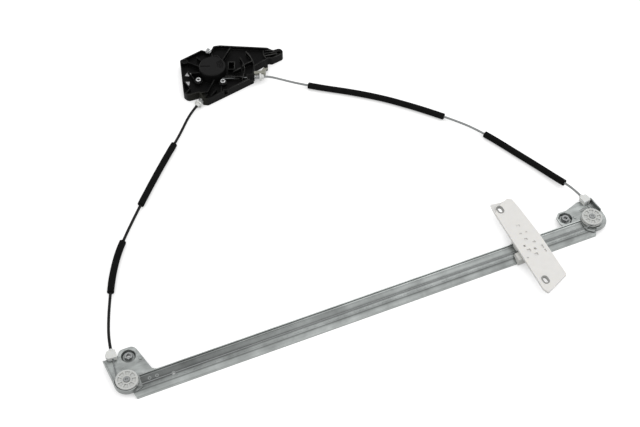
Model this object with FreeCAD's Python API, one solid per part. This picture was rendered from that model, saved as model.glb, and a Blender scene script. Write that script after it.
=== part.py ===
"""Cable window regulator: one guide rail, a carrier plate and a remote drum housing.

The regulator lies flat. X runs along the rail, +Y from the rail to the drum housing, +Z up
from the face that meets the door panel. The origin is the middle of the regulator's outline
on that face. All sizes are in millimetres.
"""
import FreeCAD
import Part
import math
import os

V = FreeCAD.Vector
UP = V(0, 0, 1)

# Layout
PULLEY_SPAN = 700.0        # pulley axis to pulley axis
RAIL_Y = -235.0            # axis of the guide rail
DRUM_X = -60.0
DRUM_Y = 265.0
CARRIER_IN = 120.0         # slot line of the carrier, inwards of the right pulley

# Clearances
RUN_GAP = 0.3              # between parts that slide or turn past each other
PIN_GAP = 0.05             # radial, shaft in its bore
SEAT_GAP = 0.1             # radial, a plug or nipple in its seat

# Wire and conduits
WIRE_R = 0.75
LEFT_CONDUIT_R = 2.1
RIGHT_CONDUIT_R = 1.7
SLEEVE_R = 5.0

# Guide rail, roll-formed strip
RAIL_SHORT = 3.0           # rail's end short of each pulley axis
RAIL_SHEET = 1.2
RAIL_BEND_R = 1.6          # inside radius of each bend
WEB_UNDER_Z = 6.0          # underside of the flat web
LIP_Y = 14.2               # outer face of the upturned far lip
LIP_RISE = 3.6             # lip above the web
SLOPE_START_Y = -5.4       # where the web starts to slope down
SLOPE_END_Y = -13.4
SLOPE_DROP = 3.8
RAIL_NOTCH_R = 9.0         # cut round each pulley pin
RAIL_CORNER = 3.0          # slanting cut across the sloped edge at each end
LOCATING_HOLE_IN = 60.4    # inwards of the left pulley
LOCATING_HOLE_R = 2.2

# Brackets
BRACKET_SHEET = 1.5
PLATE_NEAR_Y = -3.8        # near edge of the plate where it lies on the web
LEDGE = 3.7                # plate outside the left guard wall and round the right pulley
GUARD_R = 16.2             # inside of the guard wall round a pulley
GUARD_RISE = 6.2           # guard and ear above the plate
PAD_DEPTH = 3.5            # fixing pad below the plate
PAD_FLOOR_R = 8.0
PAD_SLOPE = 1.8            # pad rim radius less floor radius
LEFT_PAD_IN = 12.7         # inwards of the pulley axis
LEFT_PAD_Y = 47.8
RIGHT_PAD_IN = 34.3
RIGHT_PAD_Y = 26.3
LEFT_PLATE_IN = 44.0       # plate's inner end, inwards of the pulley axis
RIGHT_PLATE_IN = 46.5
STEP_IN = 17.0             # where the plate changes from below the web to above it
STEP_SLIT = 0.6
STEP_WALL = 1.6            # joggle between the low and the high part of the plate
FIXING_CLEAR_R = 3.3
NUT_FLATS = 10.0
NUT_HEIGHT = 5.0
NUT_BORE_R = 2.6
RIVET_R = 2.0
RIVET_HEAD_R = 3.6
RIVET_HEAD_H = 0.9
RIVET_PITCH = 10.0

# Pulleys
PULLEY_R = 15.0
PULLEY_T = 6.4
PULLEY_PITCH_R = 12.0      # radius of the wire's centre line round the pulley
PULLEY_Y = 10.6            # pulley axis from the rail's axis
PULLEY_BORE_R = 4.05
GROOVE_MOUTH = 4.2
POCKET_COUNT = 8
POCKET_IN_R = 7.0
POCKET_OUT_R = 12.2
POCKET_DEPTH = 1.2
POCKET_WEB = 2.2
PIN_HEAD_R = 4.7
PIN_HEAD_H = 1.5
PIN_NECK_R = 3.0
PIN_DIMPLE_R = 2.0

# Cable fittings on the brackets
LEFT_LEAN = 6.0            # degrees between the wire and the Y axis
RIGHT_LEAN = 9.0
LEFT_FITTING_Y = 60.5      # conduit's end, from the rail's axis
RIGHT_FITTING_Y = 49.0
FITTING_LENGTH = 12.0
FITTING_HALF_W = 5.6
LEFT_FITTING_WING = 3.2    # wing towards the bracket's ear
RIGHT_FITTING_WING = 0.9
FITTING_HEIGHT = 7.6
SOCKET_WALL = 1.2
SOCKET_LENGTH = 3.0

# Carrier
CARRIER_TOP_Z = 21.0
CARRIER_T = 4.0
CARRIER_SKIN = 2.2
CARRIER_RIM = 2.0
SLOT_PITCH = 132.7
SLOT_MID_Y = 2.5
SLOT_HALF_W = 3.1
SLOT_LENGTH = 10.4
BUSH_WALL = 1.7
BUSH_PROUD = 0.5
STEP_DOWN = 2.0
POCKETS = [                # moulded pockets in the top: place, size and depth
    (8.6, 8.0, 4.6, 3.6, 1.2), (17.2, -0.4, 4.0, 3.2, 1.2), (3.2, -11.0, 5.6, 5.0, 1.6),
    (9.8, -20.5, 5.0, 4.2, 1.6), (24.4, -12.0, 2.2, 6.0, 1.0), (24.8, -19.8, 2.2, 5.0, 1.0),
    (-4.6, -21.8, 2.8, 2.4, 0.8), (6.2, 19.2, 3.4, 2.4, 0.8), (15.0, 19.0, 3.4, 2.4, 0.8),
    (9.6, 33.0, 5.2, 3.6, 0.8),
]
SHOE_LEFT = -8.0
SHOE_RIGHT = 27.0
SHOE_TAB = 7.0             # how far the near guide tab stands out past the shoe
SHOE_WALL = 2.6
SHOE_HOOK_T = 3.2
NIPPLE_R = 2.6
NIPPLE_LENGTH = 7.0
NIPPLE_INSET = 4.0         # nipple from the end of the shoe

# Cable drum
DRUM_PITCH_R = 15.5        # radius of the wire's centre line on the drum
DRUM_FLANGE_R = 17.2
DRUM_FLANGE_T = 1.4
DRUM_LOW_Z = 3.0
TURN_PITCH = 1.75
LEFT_TURNS = 2             # turns of the left run as the carrier stands
SPARE_TURNS = 2            # empty grooves between the runs
RIGHT_TURNS = 4
GROOVE_DEPTH = 0.35
HUB_R = 9.0                # collar that turns in the cover
SOCKET_R = 6.0             # drive socket
SOCKET_DEPTH = 11.0
KEY_COUNT = 3
KEY_W = 2.0
KEY_DEPTH = 1.2
SPIGOT_R = 5.0
SPIGOT_LENGTH = 6.0

# Drum housing
HOUSING_TOP_Z = 14.5       # top of the outer wall
HOUSING_WALL = 2.0
FLOOR_TOP_Z = 9.0          # deck that the top ribs stand on
HOUSING_SKIN = 1.8
CHAMBER_R = 17.7
DOME_BASE_R = 22.0
DOME_TOP_R = 21.0
DOME_TOP_Z = 27.0
DOME_SKIN = 2.6
DOME_GROOVE = 1.5          # depth of the slot and arcs in the dome's top
RIB_T = 1.4
RIB_TOP_Z = 16.5
UNDER_RIB = 4.0
BUSH_CIRCLE_R = 30.2
BUSH_ANGLES = (202.8, 283.3, 62.0)
BUSH_R = 4.2
BUSH_BORE_R = 2.1
BUSH_TOP_Z = 18.0
BLIND_BUSH_TOP_Z = 12.0    # third bush, which ends below the housing's top
BUSH_BOSS_R = 6.4
BUSH_PROUD_Z = 3.6         # open bushes above their bosses
TIP_HOLE = (113.0, -1.0)
CORNER_HOLE = (-35.0, 37.5)
TIP_HOLE_R = 3.3
CORNER_HOLE_R = 2.6
CORNER_HOLE_DEPTH = 11.0
TIP_BOSS_R = 5.6
CORNER_BOSS_R = 5.2
WELL_WALL = 1.2
WELL_LOW_Z = 4.0
WELL_TURN = -21.0          # degrees
WELLS = [(31.5, -1.0, 4.4, 7.6, 16.0), (4.5, -50.0, 2.8, 4.6, 13.5)]    # place, half sizes, top
COVER_T = 2.0
COVER_R = 22.0
EDGE_SCREW = (8.2, 44.6)
EDGE_SCREW_HEAD_R = 3.4
EDGE_BOSS_R = 4.6

# Collar fittings and springs where the conduits enter the housing
LEFT_COLLAR = (-42.6, -52.7)    # middle of the collar, from the drum's axis
RIGHT_COLLAR = (67.0, -39.5)
COLLAR_R = 6.2
COLLAR_T = 3.0
NOSE_LENGTH = 4.0
NOSE_TIP_R = 3.0
NOSE_BASE_R = 4.6
TUBE_R = 2.5
SPRING_WIRE_R = 0.5
SPRING_COIL_R = 3.4
SPRING_TURNS = 6
SPRING_LENGTH = 13.0
SPRING_SIDES = 6
SPRING_STEPS = 12          # flat steps in one turn
EXIT_BOSS_R = 5.9
SEAT_DEPTH = 5.0           # spring's end inside the housing

# Side clip beside the right cable exit
CLIP_ARM_W = 5.0
CLIP_ARM_T = 5.0
GROMMET = (83.5, -20.5)
GROMMET_R = 3.2
GROMMET_WAIST_R = 2.0
GROMMET_LOW_Z = 3.5
GROMMET_TOP_Z = 15.0

# Conduit routes, from the housing to the rail. A straight lead is added at both ends.
RAIL_LEAD = 20.0
LEFT_HOUSING_LEAD = 20.0
RIGHT_HOUSING_LEAD = 8.0
LEFT_ROUTE = [
    (-150.0, 163.0, 5.6), (-177.6, 133.8, 5.4), (-206.5, 101.5, 5.4), (-234.0, 69.5, 5.4),
    (-259.0, 39.0, 5.4), (-279.0, 14.0, 5.4), (-300.0, -14.0, 5.4), (-315.5, -42.0, 5.4),
    (-326.0, -65.5, 5.4), (-335.2, -90.3, 5.8), (-345.0, -119.0, 8.2),
]
RIGHT_ROUTE = [
    (33.5, 212.5, 9.8), (55.5, 197.0, 6.4), (89.5, 172.5, 5.4), (130.0, 145.5, 5.4), (171.0, 114.0, 5.4),
    (208.0, 78.5, 5.4), (230.0, 55.5, 5.4), (256.6, 26.0, 5.4), (275.5, 1.5, 5.4),
    (294.5, -33.0, 5.4), (312.0, -70.0, 5.4), (327.0, -100.5, 5.6), (341.5, -136.0, 7.8),
]

# Worked out from the values above
HALF_SPAN = PULLEY_SPAN / 2
CARRIER_X = HALF_SPAN - CARRIER_IN
RAIL_HALF = HALF_SPAN - RAIL_SHORT
WEB_TOP_Z = WEB_UNDER_Z + RAIL_SHEET
PLATE_Z = WEB_TOP_Z
PLATE_TOP_Z = PLATE_Z + BRACKET_SHEET
LOW_PLATE_Z = WEB_UNDER_Z - BRACKET_SHEET
JOGGLE_Y = LIP_Y + RUN_GAP
LEFT_PLATE_END = HALF_SPAN - LEFT_PLATE_IN
RIGHT_PLATE_END = HALF_SPAN - RIGHT_PLATE_IN
STEP_X = HALF_SPAN - STEP_IN
GUARD_EDGE_R = GUARD_R + BRACKET_SHEET
FLANGE_R = GUARD_EDGE_R + LEDGE
LEFT_PAD = (HALF_SPAN - LEFT_PAD_IN, LEFT_PAD_Y)    # from the rail's middle, outwards and sideways
RIGHT_PAD = (HALF_SPAN - RIGHT_PAD_IN, RIGHT_PAD_Y)
PULLEY_Z = PLATE_TOP_Z + RUN_GAP
WIRE_Z = PULLEY_Z + PULLEY_T / 2
WIRE_Y = PULLEY_Y - PULLEY_PITCH_R
BORE_CLEAR_R = WIRE_R + RUN_GAP
CARRIER_Z = CARRIER_TOP_Z - CARRIER_T
GROOVES = LEFT_TURNS + SPARE_TURNS + RIGHT_TURNS
GROOVE_Z = DRUM_LOW_Z + DRUM_FLANGE_T
DRUM_TOP_Z = GROOVE_Z + GROOVES * TURN_PITCH + DRUM_FLANGE_T
LEFT_EXIT_Z = GROOVE_Z + (LEFT_TURNS - 0.5) * TURN_PITCH
RIGHT_EXIT_Z = GROOVE_Z + (LEFT_TURNS + SPARE_TURNS + 0.5) * TURN_PITCH


def unit(vector):
    """The vector scaled to a length of one."""
    return vector * (1.0 / vector.Length)


def polar(radius, degrees, z=0.0):
    """A point at a radius and an angle round the Z axis."""
    return V(radius * math.cos(math.radians(degrees)), radius * math.sin(math.radians(degrees)), z)


def cylinder(x, y, z0, z1, radius):
    """An upright cylinder."""
    return Part.makeCylinder(radius, z1 - z0, V(x, y, z0))


def block(x0, x1, y0, y1, z0, z1):
    """A box from its lowest to its highest corner."""
    return Part.makeBox(x1 - x0, y1 - y0, z1 - z0, V(x0, y0, z0))


def rounded_wire(corners, z=0.0):
    """A closed outline of (x, y, radius) corners: straight runs joined by tangent arcs."""
    points = [V(x, y, z) for x, y, _ in corners]
    edges = []
    joints = []
    for i, (_, _, radius) in enumerate(corners):
        point = points[i]
        back = unit(points[i - 1] - point)
        ahead = unit(points[(i + 1) % len(points)] - point)
        if radius <= 0:
            joints.append((point, None, point))
            continue
        half = back.getAngle(ahead) / 2
        reach = radius / math.tan(half)
        middle = unit(back + ahead)
        centre = point + middle * (radius / math.sin(half))
        joints.append((point + back * reach, centre - middle * radius, point + ahead * reach))
    for i, (start, through, end) in enumerate(joints):
        if through is not None:
            edges.append(Part.Arc(start, through, end).toShape())
        following = joints[(i + 1) % len(joints)][0]
        if end.distanceToPoint(following) > 1e-6:
            edges.append(Part.LineSegment(end, following).toShape())
    return Part.Wire(edges)


def slab(corners, z0, z1):
    """An upright plate or block with a rounded outline."""
    return Part.Face(rounded_wire(corners, z0)).extrude(V(0, 0, z1 - z0))


def along_x(corners, x0, x1):
    """A section given as (y, z, radius) corners, drawn out along X."""
    solid = slab(corners, 0, x1 - x0)
    solid.rotate(V(0, 0, 0), V(1, 1, 1), 120)
    solid.translate(V(x0, 0, 0))
    return solid


def beside(points, distance):
    """The corners of a line that runs to the left of an open line, by a distance."""
    result = []
    for i, point in enumerate(points):
        normals = []
        for a, b in ((i - 1, i), (i, i + 1)):
            if a >= 0 and b < len(points):
                run = unit(points[b] - points[a])
                normals.append(V(-run.y, run.x, 0))
        total = normals[0] + normals[-1]
        result.append(point + total * (distance / (1 + normals[0].dot(normals[-1]))))
    return result


def strip_section(line, thickness, bend_r):
    """Outline of bent strip round its middle line, as corners with radii."""
    half = thickness / 2
    left = beside(line, half)
    right = beside(line, -half)
    corners = []
    for i, point in enumerate(left):
        inner = 0 < i < len(line) - 1
        turn = 0.0
        if inner:
            turn = (line[i] - line[i - 1]).cross(line[i + 1] - line[i]).z
        radius = (bend_r if turn > 0 else bend_r + thickness) if inner else 0
        corners.append((point.x, point.y, radius))
    for i in reversed(range(len(line))):
        inner = 0 < i < len(line) - 1
        turn = 0.0
        if inner:
            turn = (line[i] - line[i - 1]).cross(line[i + 1] - line[i]).z
        radius = (bend_r + thickness if turn > 0 else bend_r) if inner else 0
        corners.append((right[i].x, right[i].y, radius))
    return corners


def stadium(x, y, half_w, length, z0, z1, axis_x=False):
    """An upright block with two round ends, long along Y or along X."""
    half_l = length / 2
    if axis_x:
        outline = [(x - half_l, y - half_w, half_w), (x + half_l, y - half_w, half_w),
                   (x + half_l, y + half_w, half_w), (x - half_l, y + half_w, half_w)]
    else:
        outline = [(x - half_w, y - half_l, half_w), (x + half_w, y - half_l, half_w),
                   (x + half_w, y + half_l, half_w), (x - half_w, y + half_l, half_w)]
    shrink = 0.999
    outline = [(a, b, r * shrink) for a, b, r in outline]
    return slab(outline, z0, z1)


def revolve(profile, axis_x=0.0, axis_y=0.0):
    """A solid of revolution round an upright axis, from (radius, z) corners."""
    points = [V(r, 0, z) for r, z in profile]
    wire = Part.makePolygon(points + [points[0]])
    solid = Part.Face(wire).revolve(V(0, 0, 0), UP, 360)
    solid.translate(V(axis_x, axis_y, 0))
    return solid


def arc_wall(x, y, inner_r, outer_r, z0, z1, start, end):
    """An upright wall along an arc, from one angle to the other, in degrees."""
    profile = Part.makePolygon([V(inner_r, 0, z0), V(outer_r, 0, z0), V(outer_r, 0, z1),
                                V(inner_r, 0, z1), V(inner_r, 0, z0)])
    wall = Part.Face(profile).revolve(V(0, 0, 0), UP, end - start)
    wall.rotate(V(0, 0, 0), UP, start)
    wall.translate(V(x, y, 0))
    return wall


def bar(start, end, thickness, z0, z1):
    """An upright wall along a straight line in plan."""
    run = V(end[0] - start[0], end[1] - start[1], 0)
    side = unit(V(-run.y, run.x, 0)) * (thickness / 2)
    a = V(start[0], start[1], z0)
    corners = [a + side, a - side, a + run - side, a + run + side]
    face = Part.Face(Part.makePolygon(corners + [corners[0]]))
    return face.extrude(V(0, 0, z1 - z0))


def joined(first, others):
    """One solid from pieces that meet."""
    return first.multiFuse(list(others)).removeSplitter()


def cut_all(body, tools):
    """A body less every tool."""
    return body.cut(Part.makeCompound(list(tools)))


def mirrored(shape):
    """The same piece for the left end of the rail."""
    return shape.mirror(V(0, 0, 0), V(1, 0, 0))


def one_solid(shape):
    """The shape as a plain solid."""
    return shape.Solids[0] if len(shape.Solids) == 1 else shape


# Guide rail


def rail_line():
    """Middle line of the strip, as (y, z), from the far lip to the near edge."""
    half = RAIL_SHEET / 2
    web_z = WEB_UNDER_Z + half
    lip_y = LIP_Y - half
    return [V(lip_y, web_z + half + LIP_RISE, 0), V(lip_y, web_z, 0), V(SLOPE_START_Y, web_z, 0),
            V(SLOPE_END_Y, web_z - SLOPE_DROP, 0), V(SLOPE_END_Y, 0, 0)]


def guide_rail():
    """Roll-formed rail, open round each pulley pin, its lip ending short of the pulleys."""
    rail = along_x(strip_section(rail_line(), RAIL_SHEET, RAIL_BEND_R), -RAIL_HALF, RAIL_HALF)
    tools = []
    lip_inner = LIP_Y - RAIL_SHEET - RAIL_BEND_R
    high = WEB_TOP_Z + LIP_RISE + 1
    for side, plate_end in ((-1, LEFT_PLATE_END), (1, RIGHT_PLATE_END)):
        tools.append(cylinder(side * HALF_SPAN, PULLEY_Y, 0, high, RAIL_NOTCH_R))
        x0, x1 = sorted((side * (STEP_X - STEP_SLIT), side * (RAIL_HALF + 1)))
        tools.append(block(x0, x1, lip_inner, LIP_Y + 1, 0, high))
        corner = [(side * (RAIL_HALF + 1), SLOPE_START_Y, 0), (side * (RAIL_HALF + 1), SLOPE_END_Y - 2, 0),
                  (side * (RAIL_HALF - RAIL_CORNER), SLOPE_END_Y - 2, 0)]
        tools.append(slab(corner, 0, high))
        for rivet in rivet_places(side, plate_end):
            tools.append(cylinder(rivet.x, rivet.y, 0, high, RIVET_R))
    tools.append(cylinder(LOCATING_HOLE_IN - HALF_SPAN, 1.3, 0, high, LOCATING_HOLE_R))
    return cut_all(rail, tools)


# Brackets


def rivet_places(side, plate_end):
    """Where the two rivets of a bracket stand."""
    first = plate_end + RIVET_HEAD_R + 1.5
    return [V(side * (first + i * RIVET_PITCH), 6.0, 0) for i in range(2)]


def bracket_rivets():
    """Four rivets, headed below the brackets and flush with the rail's web."""
    head_z = LOW_PLATE_Z - RIVET_HEAD_H
    profile = [(0, head_z), (RIVET_HEAD_R - 0.6, head_z), (RIVET_HEAD_R, LOW_PLATE_Z),
               (RIVET_R, LOW_PLATE_Z), (RIVET_R, WEB_TOP_Z), (0, WEB_TOP_Z)]
    rivets = []
    for side, plate_end in ((-1, LEFT_PLATE_END), (1, RIGHT_PLATE_END)):
        for place in rivet_places(side, plate_end):
            rivets.append(revolve(profile, place.x, place.y))
    return Part.makeCompound(rivets)


def ring_of(count, radius, x, y, z, turn=0.0):
    """A regular outline round a point, or a circle where the count is zero."""
    if count == 0:
        return Part.Wire([Part.makeCircle(radius, V(x, y, z))])
    points = [V(x, y, z) + polar(radius / math.cos(math.pi / count), turn + 360.0 * i / count)
              for i in range(count + 1)]
    return Part.makePolygon(points)


def pad_cup(x, y, sides):
    """Outside and inside of a fixing pad pressed down out of the plate."""
    turn = 180.0 / sides if sides else 0.0
    floor_z = PLATE_Z - PAD_DEPTH
    rim_r = PAD_FLOOR_R + PAD_SLOPE
    outside = Part.makeLoft([ring_of(sides, PAD_FLOOR_R + BRACKET_SHEET, x, y, floor_z, turn),
                             ring_of(sides, rim_r + BRACKET_SHEET, x, y, PLATE_Z, turn)], True, True)
    inside = Part.makeLoft([ring_of(sides, PAD_FLOOR_R, x, y, floor_z + BRACKET_SHEET, turn),
                            ring_of(sides, rim_r, x, y, PLATE_TOP_Z, turn)], True, True)
    return outside, inside


def left_plate_corners():
    """High part of the left bracket, measured outwards from the rail's middle."""
    x, y = LEFT_PAD
    outer = HALF_SPAN + FLANGE_R
    return [(LEFT_PLATE_END + 3.0, JOGGLE_Y, 0.6), (LEFT_PLATE_END + 8.0, JOGGLE_Y + 4.5, 3.0),
            (x - 12.8, y + 8.0, 8.0), (x - 8.5, y + 13.0, 7.0), (x + 9.0, y + 13.0, 8.0),
            (x + 13.5, y + 5.2, 3.0), (outer, y + 5.2, 2.0), (HALF_SPAN + GUARD_EDGE_R, 27.0, 8.0)]


def right_plate_corners():
    """High part of the right bracket, with its eight-sided lobe."""
    x, y = RIGHT_PAD
    corners = [(RIGHT_PLATE_END + 2.0, JOGGLE_Y, 0.6)]
    for angle in (202.5, 157.5, 112.5):
        point = polar(13.3, angle)
        corners.append((x + point.x, y + point.y, 2.5))
    corners += [(x + 8.0, y + 11.9, 4.0), (HALF_SPAN - 4.0, 45.5, 3.0), (HALF_SPAN + 16.0, 45.5, 2.0),
                (HALF_SPAN + FLANGE_R, 20.0, 8.0)]
    return corners


def pulley_corners(edge):
    """Where the plate rounds the pulley and comes back beside the step."""
    return [(HALF_SPAN + edge, PULLEY_Y - edge, edge - 0.05), (HALF_SPAN - 8.0, PULLEY_Y - edge, 7.0),
            (STEP_X, PLATE_NEAR_Y, 1.0), (STEP_X, JOGGLE_Y, 0)]


def ear(foot, top):
    """Outer wall of a bracket beside its cable fitting, with a slanting end."""
    run = V(top[0] - foot[0], top[1] - foot[1], 0)
    inward = unit(V(-run.y, run.x, 0)) * BRACKET_SHEET
    base = V(foot[0], foot[1], PLATE_Z)
    full = BRACKET_SHEET + GUARD_RISE
    heights = [(0.0, 0.0), (1.0, 0.0), (1.0, 0.55 * full), (0.9, full), (0.0, full)]
    points = [base + run * share + UP * rise for share, rise in heights]
    return Part.Face(Part.makePolygon(points + [points[0]])).extrude(inward)


def bracket(corners, plate_end, edge, pad, sides, walls):
    """One stamped bracket for the right end: low and high plate, joggle, pad and walls."""
    x, y = pad
    high = slab(corners + pulley_corners(edge), PLATE_Z, PLATE_TOP_Z)
    low_end = STEP_X - STEP_SLIT
    low = slab([(plate_end, PLATE_NEAR_Y, 1.0), (low_end, PLATE_NEAR_Y, 1.0),
                (low_end, JOGGLE_Y + STEP_WALL, 0), (plate_end, JOGGLE_Y + STEP_WALL, 1.0)],
               LOW_PLATE_Z, WEB_UNDER_Z)
    joggle = block(corners[0][0], low_end, JOGGLE_Y, JOGGLE_Y + STEP_WALL, LOW_PLATE_Z, PLATE_TOP_Z)
    outside, inside = pad_cup(x, y, sides)
    body = joined(high, [low, joggle, outside] + walls)
    tools = [inside, cylinder(x, y, 0, PLATE_TOP_Z, FIXING_CLEAR_R),
             cylinder(HALF_SPAN, PULLEY_Y, 0, PLATE_TOP_Z + 1, PIN_NECK_R)]
    for place in rivet_places(1, plate_end):
        tools.append(cylinder(place.x, place.y, 0, WEB_UNDER_Z + 1, RIVET_R))
    return cut_all(body, tools)


def left_bracket():
    """Bracket of the lower end, with a round pad and a guard that runs into its ear."""
    corners = left_plate_corners()
    guard = arc_wall(HALF_SPAN, PULLEY_Y, GUARD_R, GUARD_EDGE_R, PLATE_Z, PLATE_TOP_Z + GUARD_RISE, -112, 22)
    wall = ear((HALF_SPAN + GUARD_EDGE_R, PULLEY_Y + 4.0), (corners[-2][0], corners[-2][1] - 1.0))
    body = bracket(corners, LEFT_PLATE_END, GUARD_EDGE_R, LEFT_PAD, 0, [guard, wall])
    dimple = cylinder(HALF_SPAN - 26.5, LEFT_PAD_Y - 9.3, PLATE_Z, PLATE_TOP_Z + 0.7, 2.4)
    return mirrored(joined(body, [dimple]))


def right_bracket():
    """Bracket of the upper end: eight-sided pad, wide flange, curled stop and an arc-shaped slot."""
    corners = right_plate_corners()
    hook = arc_wall(HALF_SPAN, PULLEY_Y, FLANGE_R - BRACKET_SHEET, FLANGE_R, PLATE_Z,
                    PLATE_TOP_Z + GUARD_RISE, -104, -66)
    wall = ear((HALF_SPAN + FLANGE_R - 2.2, PULLEY_Y + 7.0), (corners[-2][0], corners[-2][1] - 1.0))
    body = bracket(corners, RIGHT_PLATE_END, FLANGE_R, RIGHT_PAD, 8, [hook, wall])
    dimple = cylinder(HALF_SPAN - 21.0, RIGHT_PAD_Y - 4.0, PLATE_Z, PLATE_TOP_Z + 0.8, 2.2)
    rib = arc_wall(HALF_SPAN, PULLEY_Y, 18.2, 19.4, PLATE_Z, PLATE_TOP_Z + 0.8, 74, 114)
    slot = arc_wall(HALF_SPAN, PULLEY_Y, 20.2, 21.8, 0, PLATE_TOP_Z + 1, 80, 112)
    return cut_all(joined(body, [dimple, rib]), [slot])


def weld_nut(side, pad):
    """Six-sided nut on the floor of a fixing pad."""
    x, y = pad
    low = PLATE_Z - PAD_DEPTH + BRACKET_SHEET
    outline = ring_of(6, NUT_FLATS / 2, side * x, y, low, 15)
    nut = Part.Face(outline).extrude(V(0, 0, NUT_HEIGHT))
    return nut.cut(cylinder(side * x, y, low - 1, low + NUT_HEIGHT + 1, NUT_BORE_R))


# Pulleys


def pulley(side):
    """Wire pulley with a V groove and pockets in both faces."""
    low = PULLEY_Z
    top = PULLEY_Z + PULLEY_T
    groove_r = PULLEY_PITCH_R - WIRE_R - RUN_GAP
    half_mouth = GROOVE_MOUTH / 2
    half_floor = WIRE_R + RUN_GAP
    edge = 0.4
    profile = [(PULLEY_BORE_R, low), (PULLEY_R - edge, low), (PULLEY_R, low + edge),
               (PULLEY_R, WIRE_Z - half_mouth), (groove_r, WIRE_Z - half_floor),
               (groove_r, WIRE_Z + half_floor), (PULLEY_R, WIRE_Z + half_mouth),
               (PULLEY_R, top - edge), (PULLEY_R - edge, top), (PULLEY_BORE_R, top)]
    wheel = revolve(profile)
    pockets = []
    step = 360.0 / POCKET_COUNT
    mean_r = (POCKET_IN_R + POCKET_OUT_R) / 2
    web = math.degrees(POCKET_WEB / mean_r)
    for i in range(POCKET_COUNT):
        start = i * step + web / 2
        end = (i + 1) * step - web / 2
        pockets.append(arc_wall(0, 0, POCKET_IN_R, POCKET_OUT_R, top - POCKET_DEPTH, top + 1, start, end))
    wheel = cut_all(wheel, pockets)
    wheel.translate(V(side * HALF_SPAN, PULLEY_Y, 0))
    return wheel


def pulley_pin(side):
    """Shoulder rivet that carries a pulley on its bracket."""
    shank = PULLEY_BORE_R - PIN_GAP
    head_z = PULLEY_Z + PULLEY_T + RUN_GAP
    foot_z = PLATE_Z - PIN_HEAD_H
    profile = [(0, foot_z), (PIN_HEAD_R - 0.7, foot_z), (PIN_HEAD_R - 0.2, PLATE_Z), (PIN_NECK_R, PLATE_Z),
               (PIN_NECK_R, PLATE_TOP_Z), (shank, PLATE_TOP_Z), (shank, head_z), (PIN_HEAD_R, head_z),
               (PIN_HEAD_R - 0.7, head_z + PIN_HEAD_H), (PIN_DIMPLE_R, head_z + PIN_HEAD_H),
               (PIN_DIMPLE_R - 0.8, head_z + 0.4), (0, head_z + 0.4)]
    return revolve(profile, side * HALF_SPAN, PULLEY_Y)


# Wire and cable fittings at the rail


def fitting_frame(lean, fitting_y):
    """Conduit's end, the wire's direction and its tangent point, for the right end."""
    direction = V(math.sin(math.radians(lean)), -math.cos(math.radians(lean)), 0)
    tangent = V(HALF_SPAN, PULLEY_Y, WIRE_Z) + polar(PULLEY_PITCH_R, lean)
    reach = (fitting_y - tangent.y) / math.cos(math.radians(lean))
    return tangent - direction * reach, direction, tangent


def rail_fitting(lean, fitting_y, wing, conduit_r):
    """White end fitting that holds a conduit on its bracket, for the right end."""
    end, _, _ = fitting_frame(lean, fitting_y)
    half = FITTING_HALF_W
    length = FITTING_LENGTH
    outline = [(-half, 0, 0.8), (half, 0, 0.8), (half + wing, -0.45 * length, 0.6),
               (half + wing, -0.6 * length, 0.6), (half, -length, 0.8), (-half, -length, 0.8)]
    body = slab(outline, PLATE_TOP_Z, PLATE_TOP_Z + FITTING_HEIGHT)
    axis = V(0, 1, 0)
    socket = Part.makeCylinder(conduit_r + SEAT_GAP + SOCKET_WALL, SOCKET_LENGTH, V(0, 0, WIRE_Z), axis)
    seat = Part.makeCylinder(conduit_r + SEAT_GAP, SOCKET_LENGTH + 1, V(0, 0, WIRE_Z), axis)
    bore = Part.makeCylinder(BORE_CLEAR_R, length + 2, V(0, 1, WIRE_Z), -axis)
    body = cut_all(joined(body, [socket]), [seat, bore])
    body.rotate(V(0, 0, 0), UP, lean)
    body.translate(V(end.x, end.y, 0))
    return body


def rail_wire(lean, fitting_y, meet_x):
    """Running wire from its conduit, round the pulley and along the rail, for the right end."""
    start, _, tangent = fitting_frame(lean, fitting_y)
    axis = V(HALF_SPAN, PULLEY_Y, WIRE_Z)
    middle = axis + polar(PULLEY_PITCH_R, (lean - 90) / 2)
    leave = V(HALF_SPAN, WIRE_Y, WIRE_Z)
    path = Part.Wire([Part.LineSegment(start, tangent).toShape(),
                      Part.Arc(tangent, middle, leave).toShape(),
                      Part.LineSegment(leave, V(meet_x, WIRE_Y, WIRE_Z)).toShape()])
    return swept(path, [WIRE_R])


# Conduits and sleeves


def swept(path, radii):
    """A tube along a path of straight runs and arcs: a rod for one radius, hollow for two."""
    start = path.Edges[0].valueAt(path.Edges[0].FirstParameter)
    heading = path.Edges[0].tangentAt(path.Edges[0].FirstParameter)
    solids = []
    for radius in radii:
        ring = Part.Wire([Part.makeCircle(radius, start, heading)])
        solids.append(path.makePipeShell([ring], True, False))
    return solids[0] if len(solids) == 1 else solids[0].cut(solids[1])


def bends(route):
    """Start, middle, end and radius of the arc at each inner point of a route."""
    result = []
    for before, point, after in zip(route, route[1:], route[2:]):
        back = unit(before - point)
        ahead = unit(after - point)
        half_turn = (math.pi - back.getAngle(ahead)) / 2
        reach = 0.45 * min((before - point).Length, (after - point).Length)
        radius = reach / math.tan(half_turn)
        middle = unit(back + ahead)
        centre = point + middle * (radius / math.cos(half_turn))
        result.append((point + back * reach, centre - middle * radius, point + ahead * reach, radius))
    return result


def route_path(route, first_run=None, last_run=None):
    """The route as runs and arcs, whole or from the middle of one run to the middle of another."""
    arcs = bends(route)
    if first_run is None:
        start, end = route[0], route[-1]
        chosen = arcs
    else:
        start = (route[first_run] + route[first_run + 1]) * 0.5
        end = (route[last_run] + route[last_run + 1]) * 0.5
        chosen = arcs[first_run:last_run]
    edges = []
    for arc_start, through, arc_end, _ in chosen:
        edges.append(Part.LineSegment(start, arc_start).toShape())
        edges.append(Part.Arc(arc_start, through, arc_end).toShape())
        start = arc_end
    edges.append(Part.LineSegment(start, end).toShape())
    return Part.Wire(edges)


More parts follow.
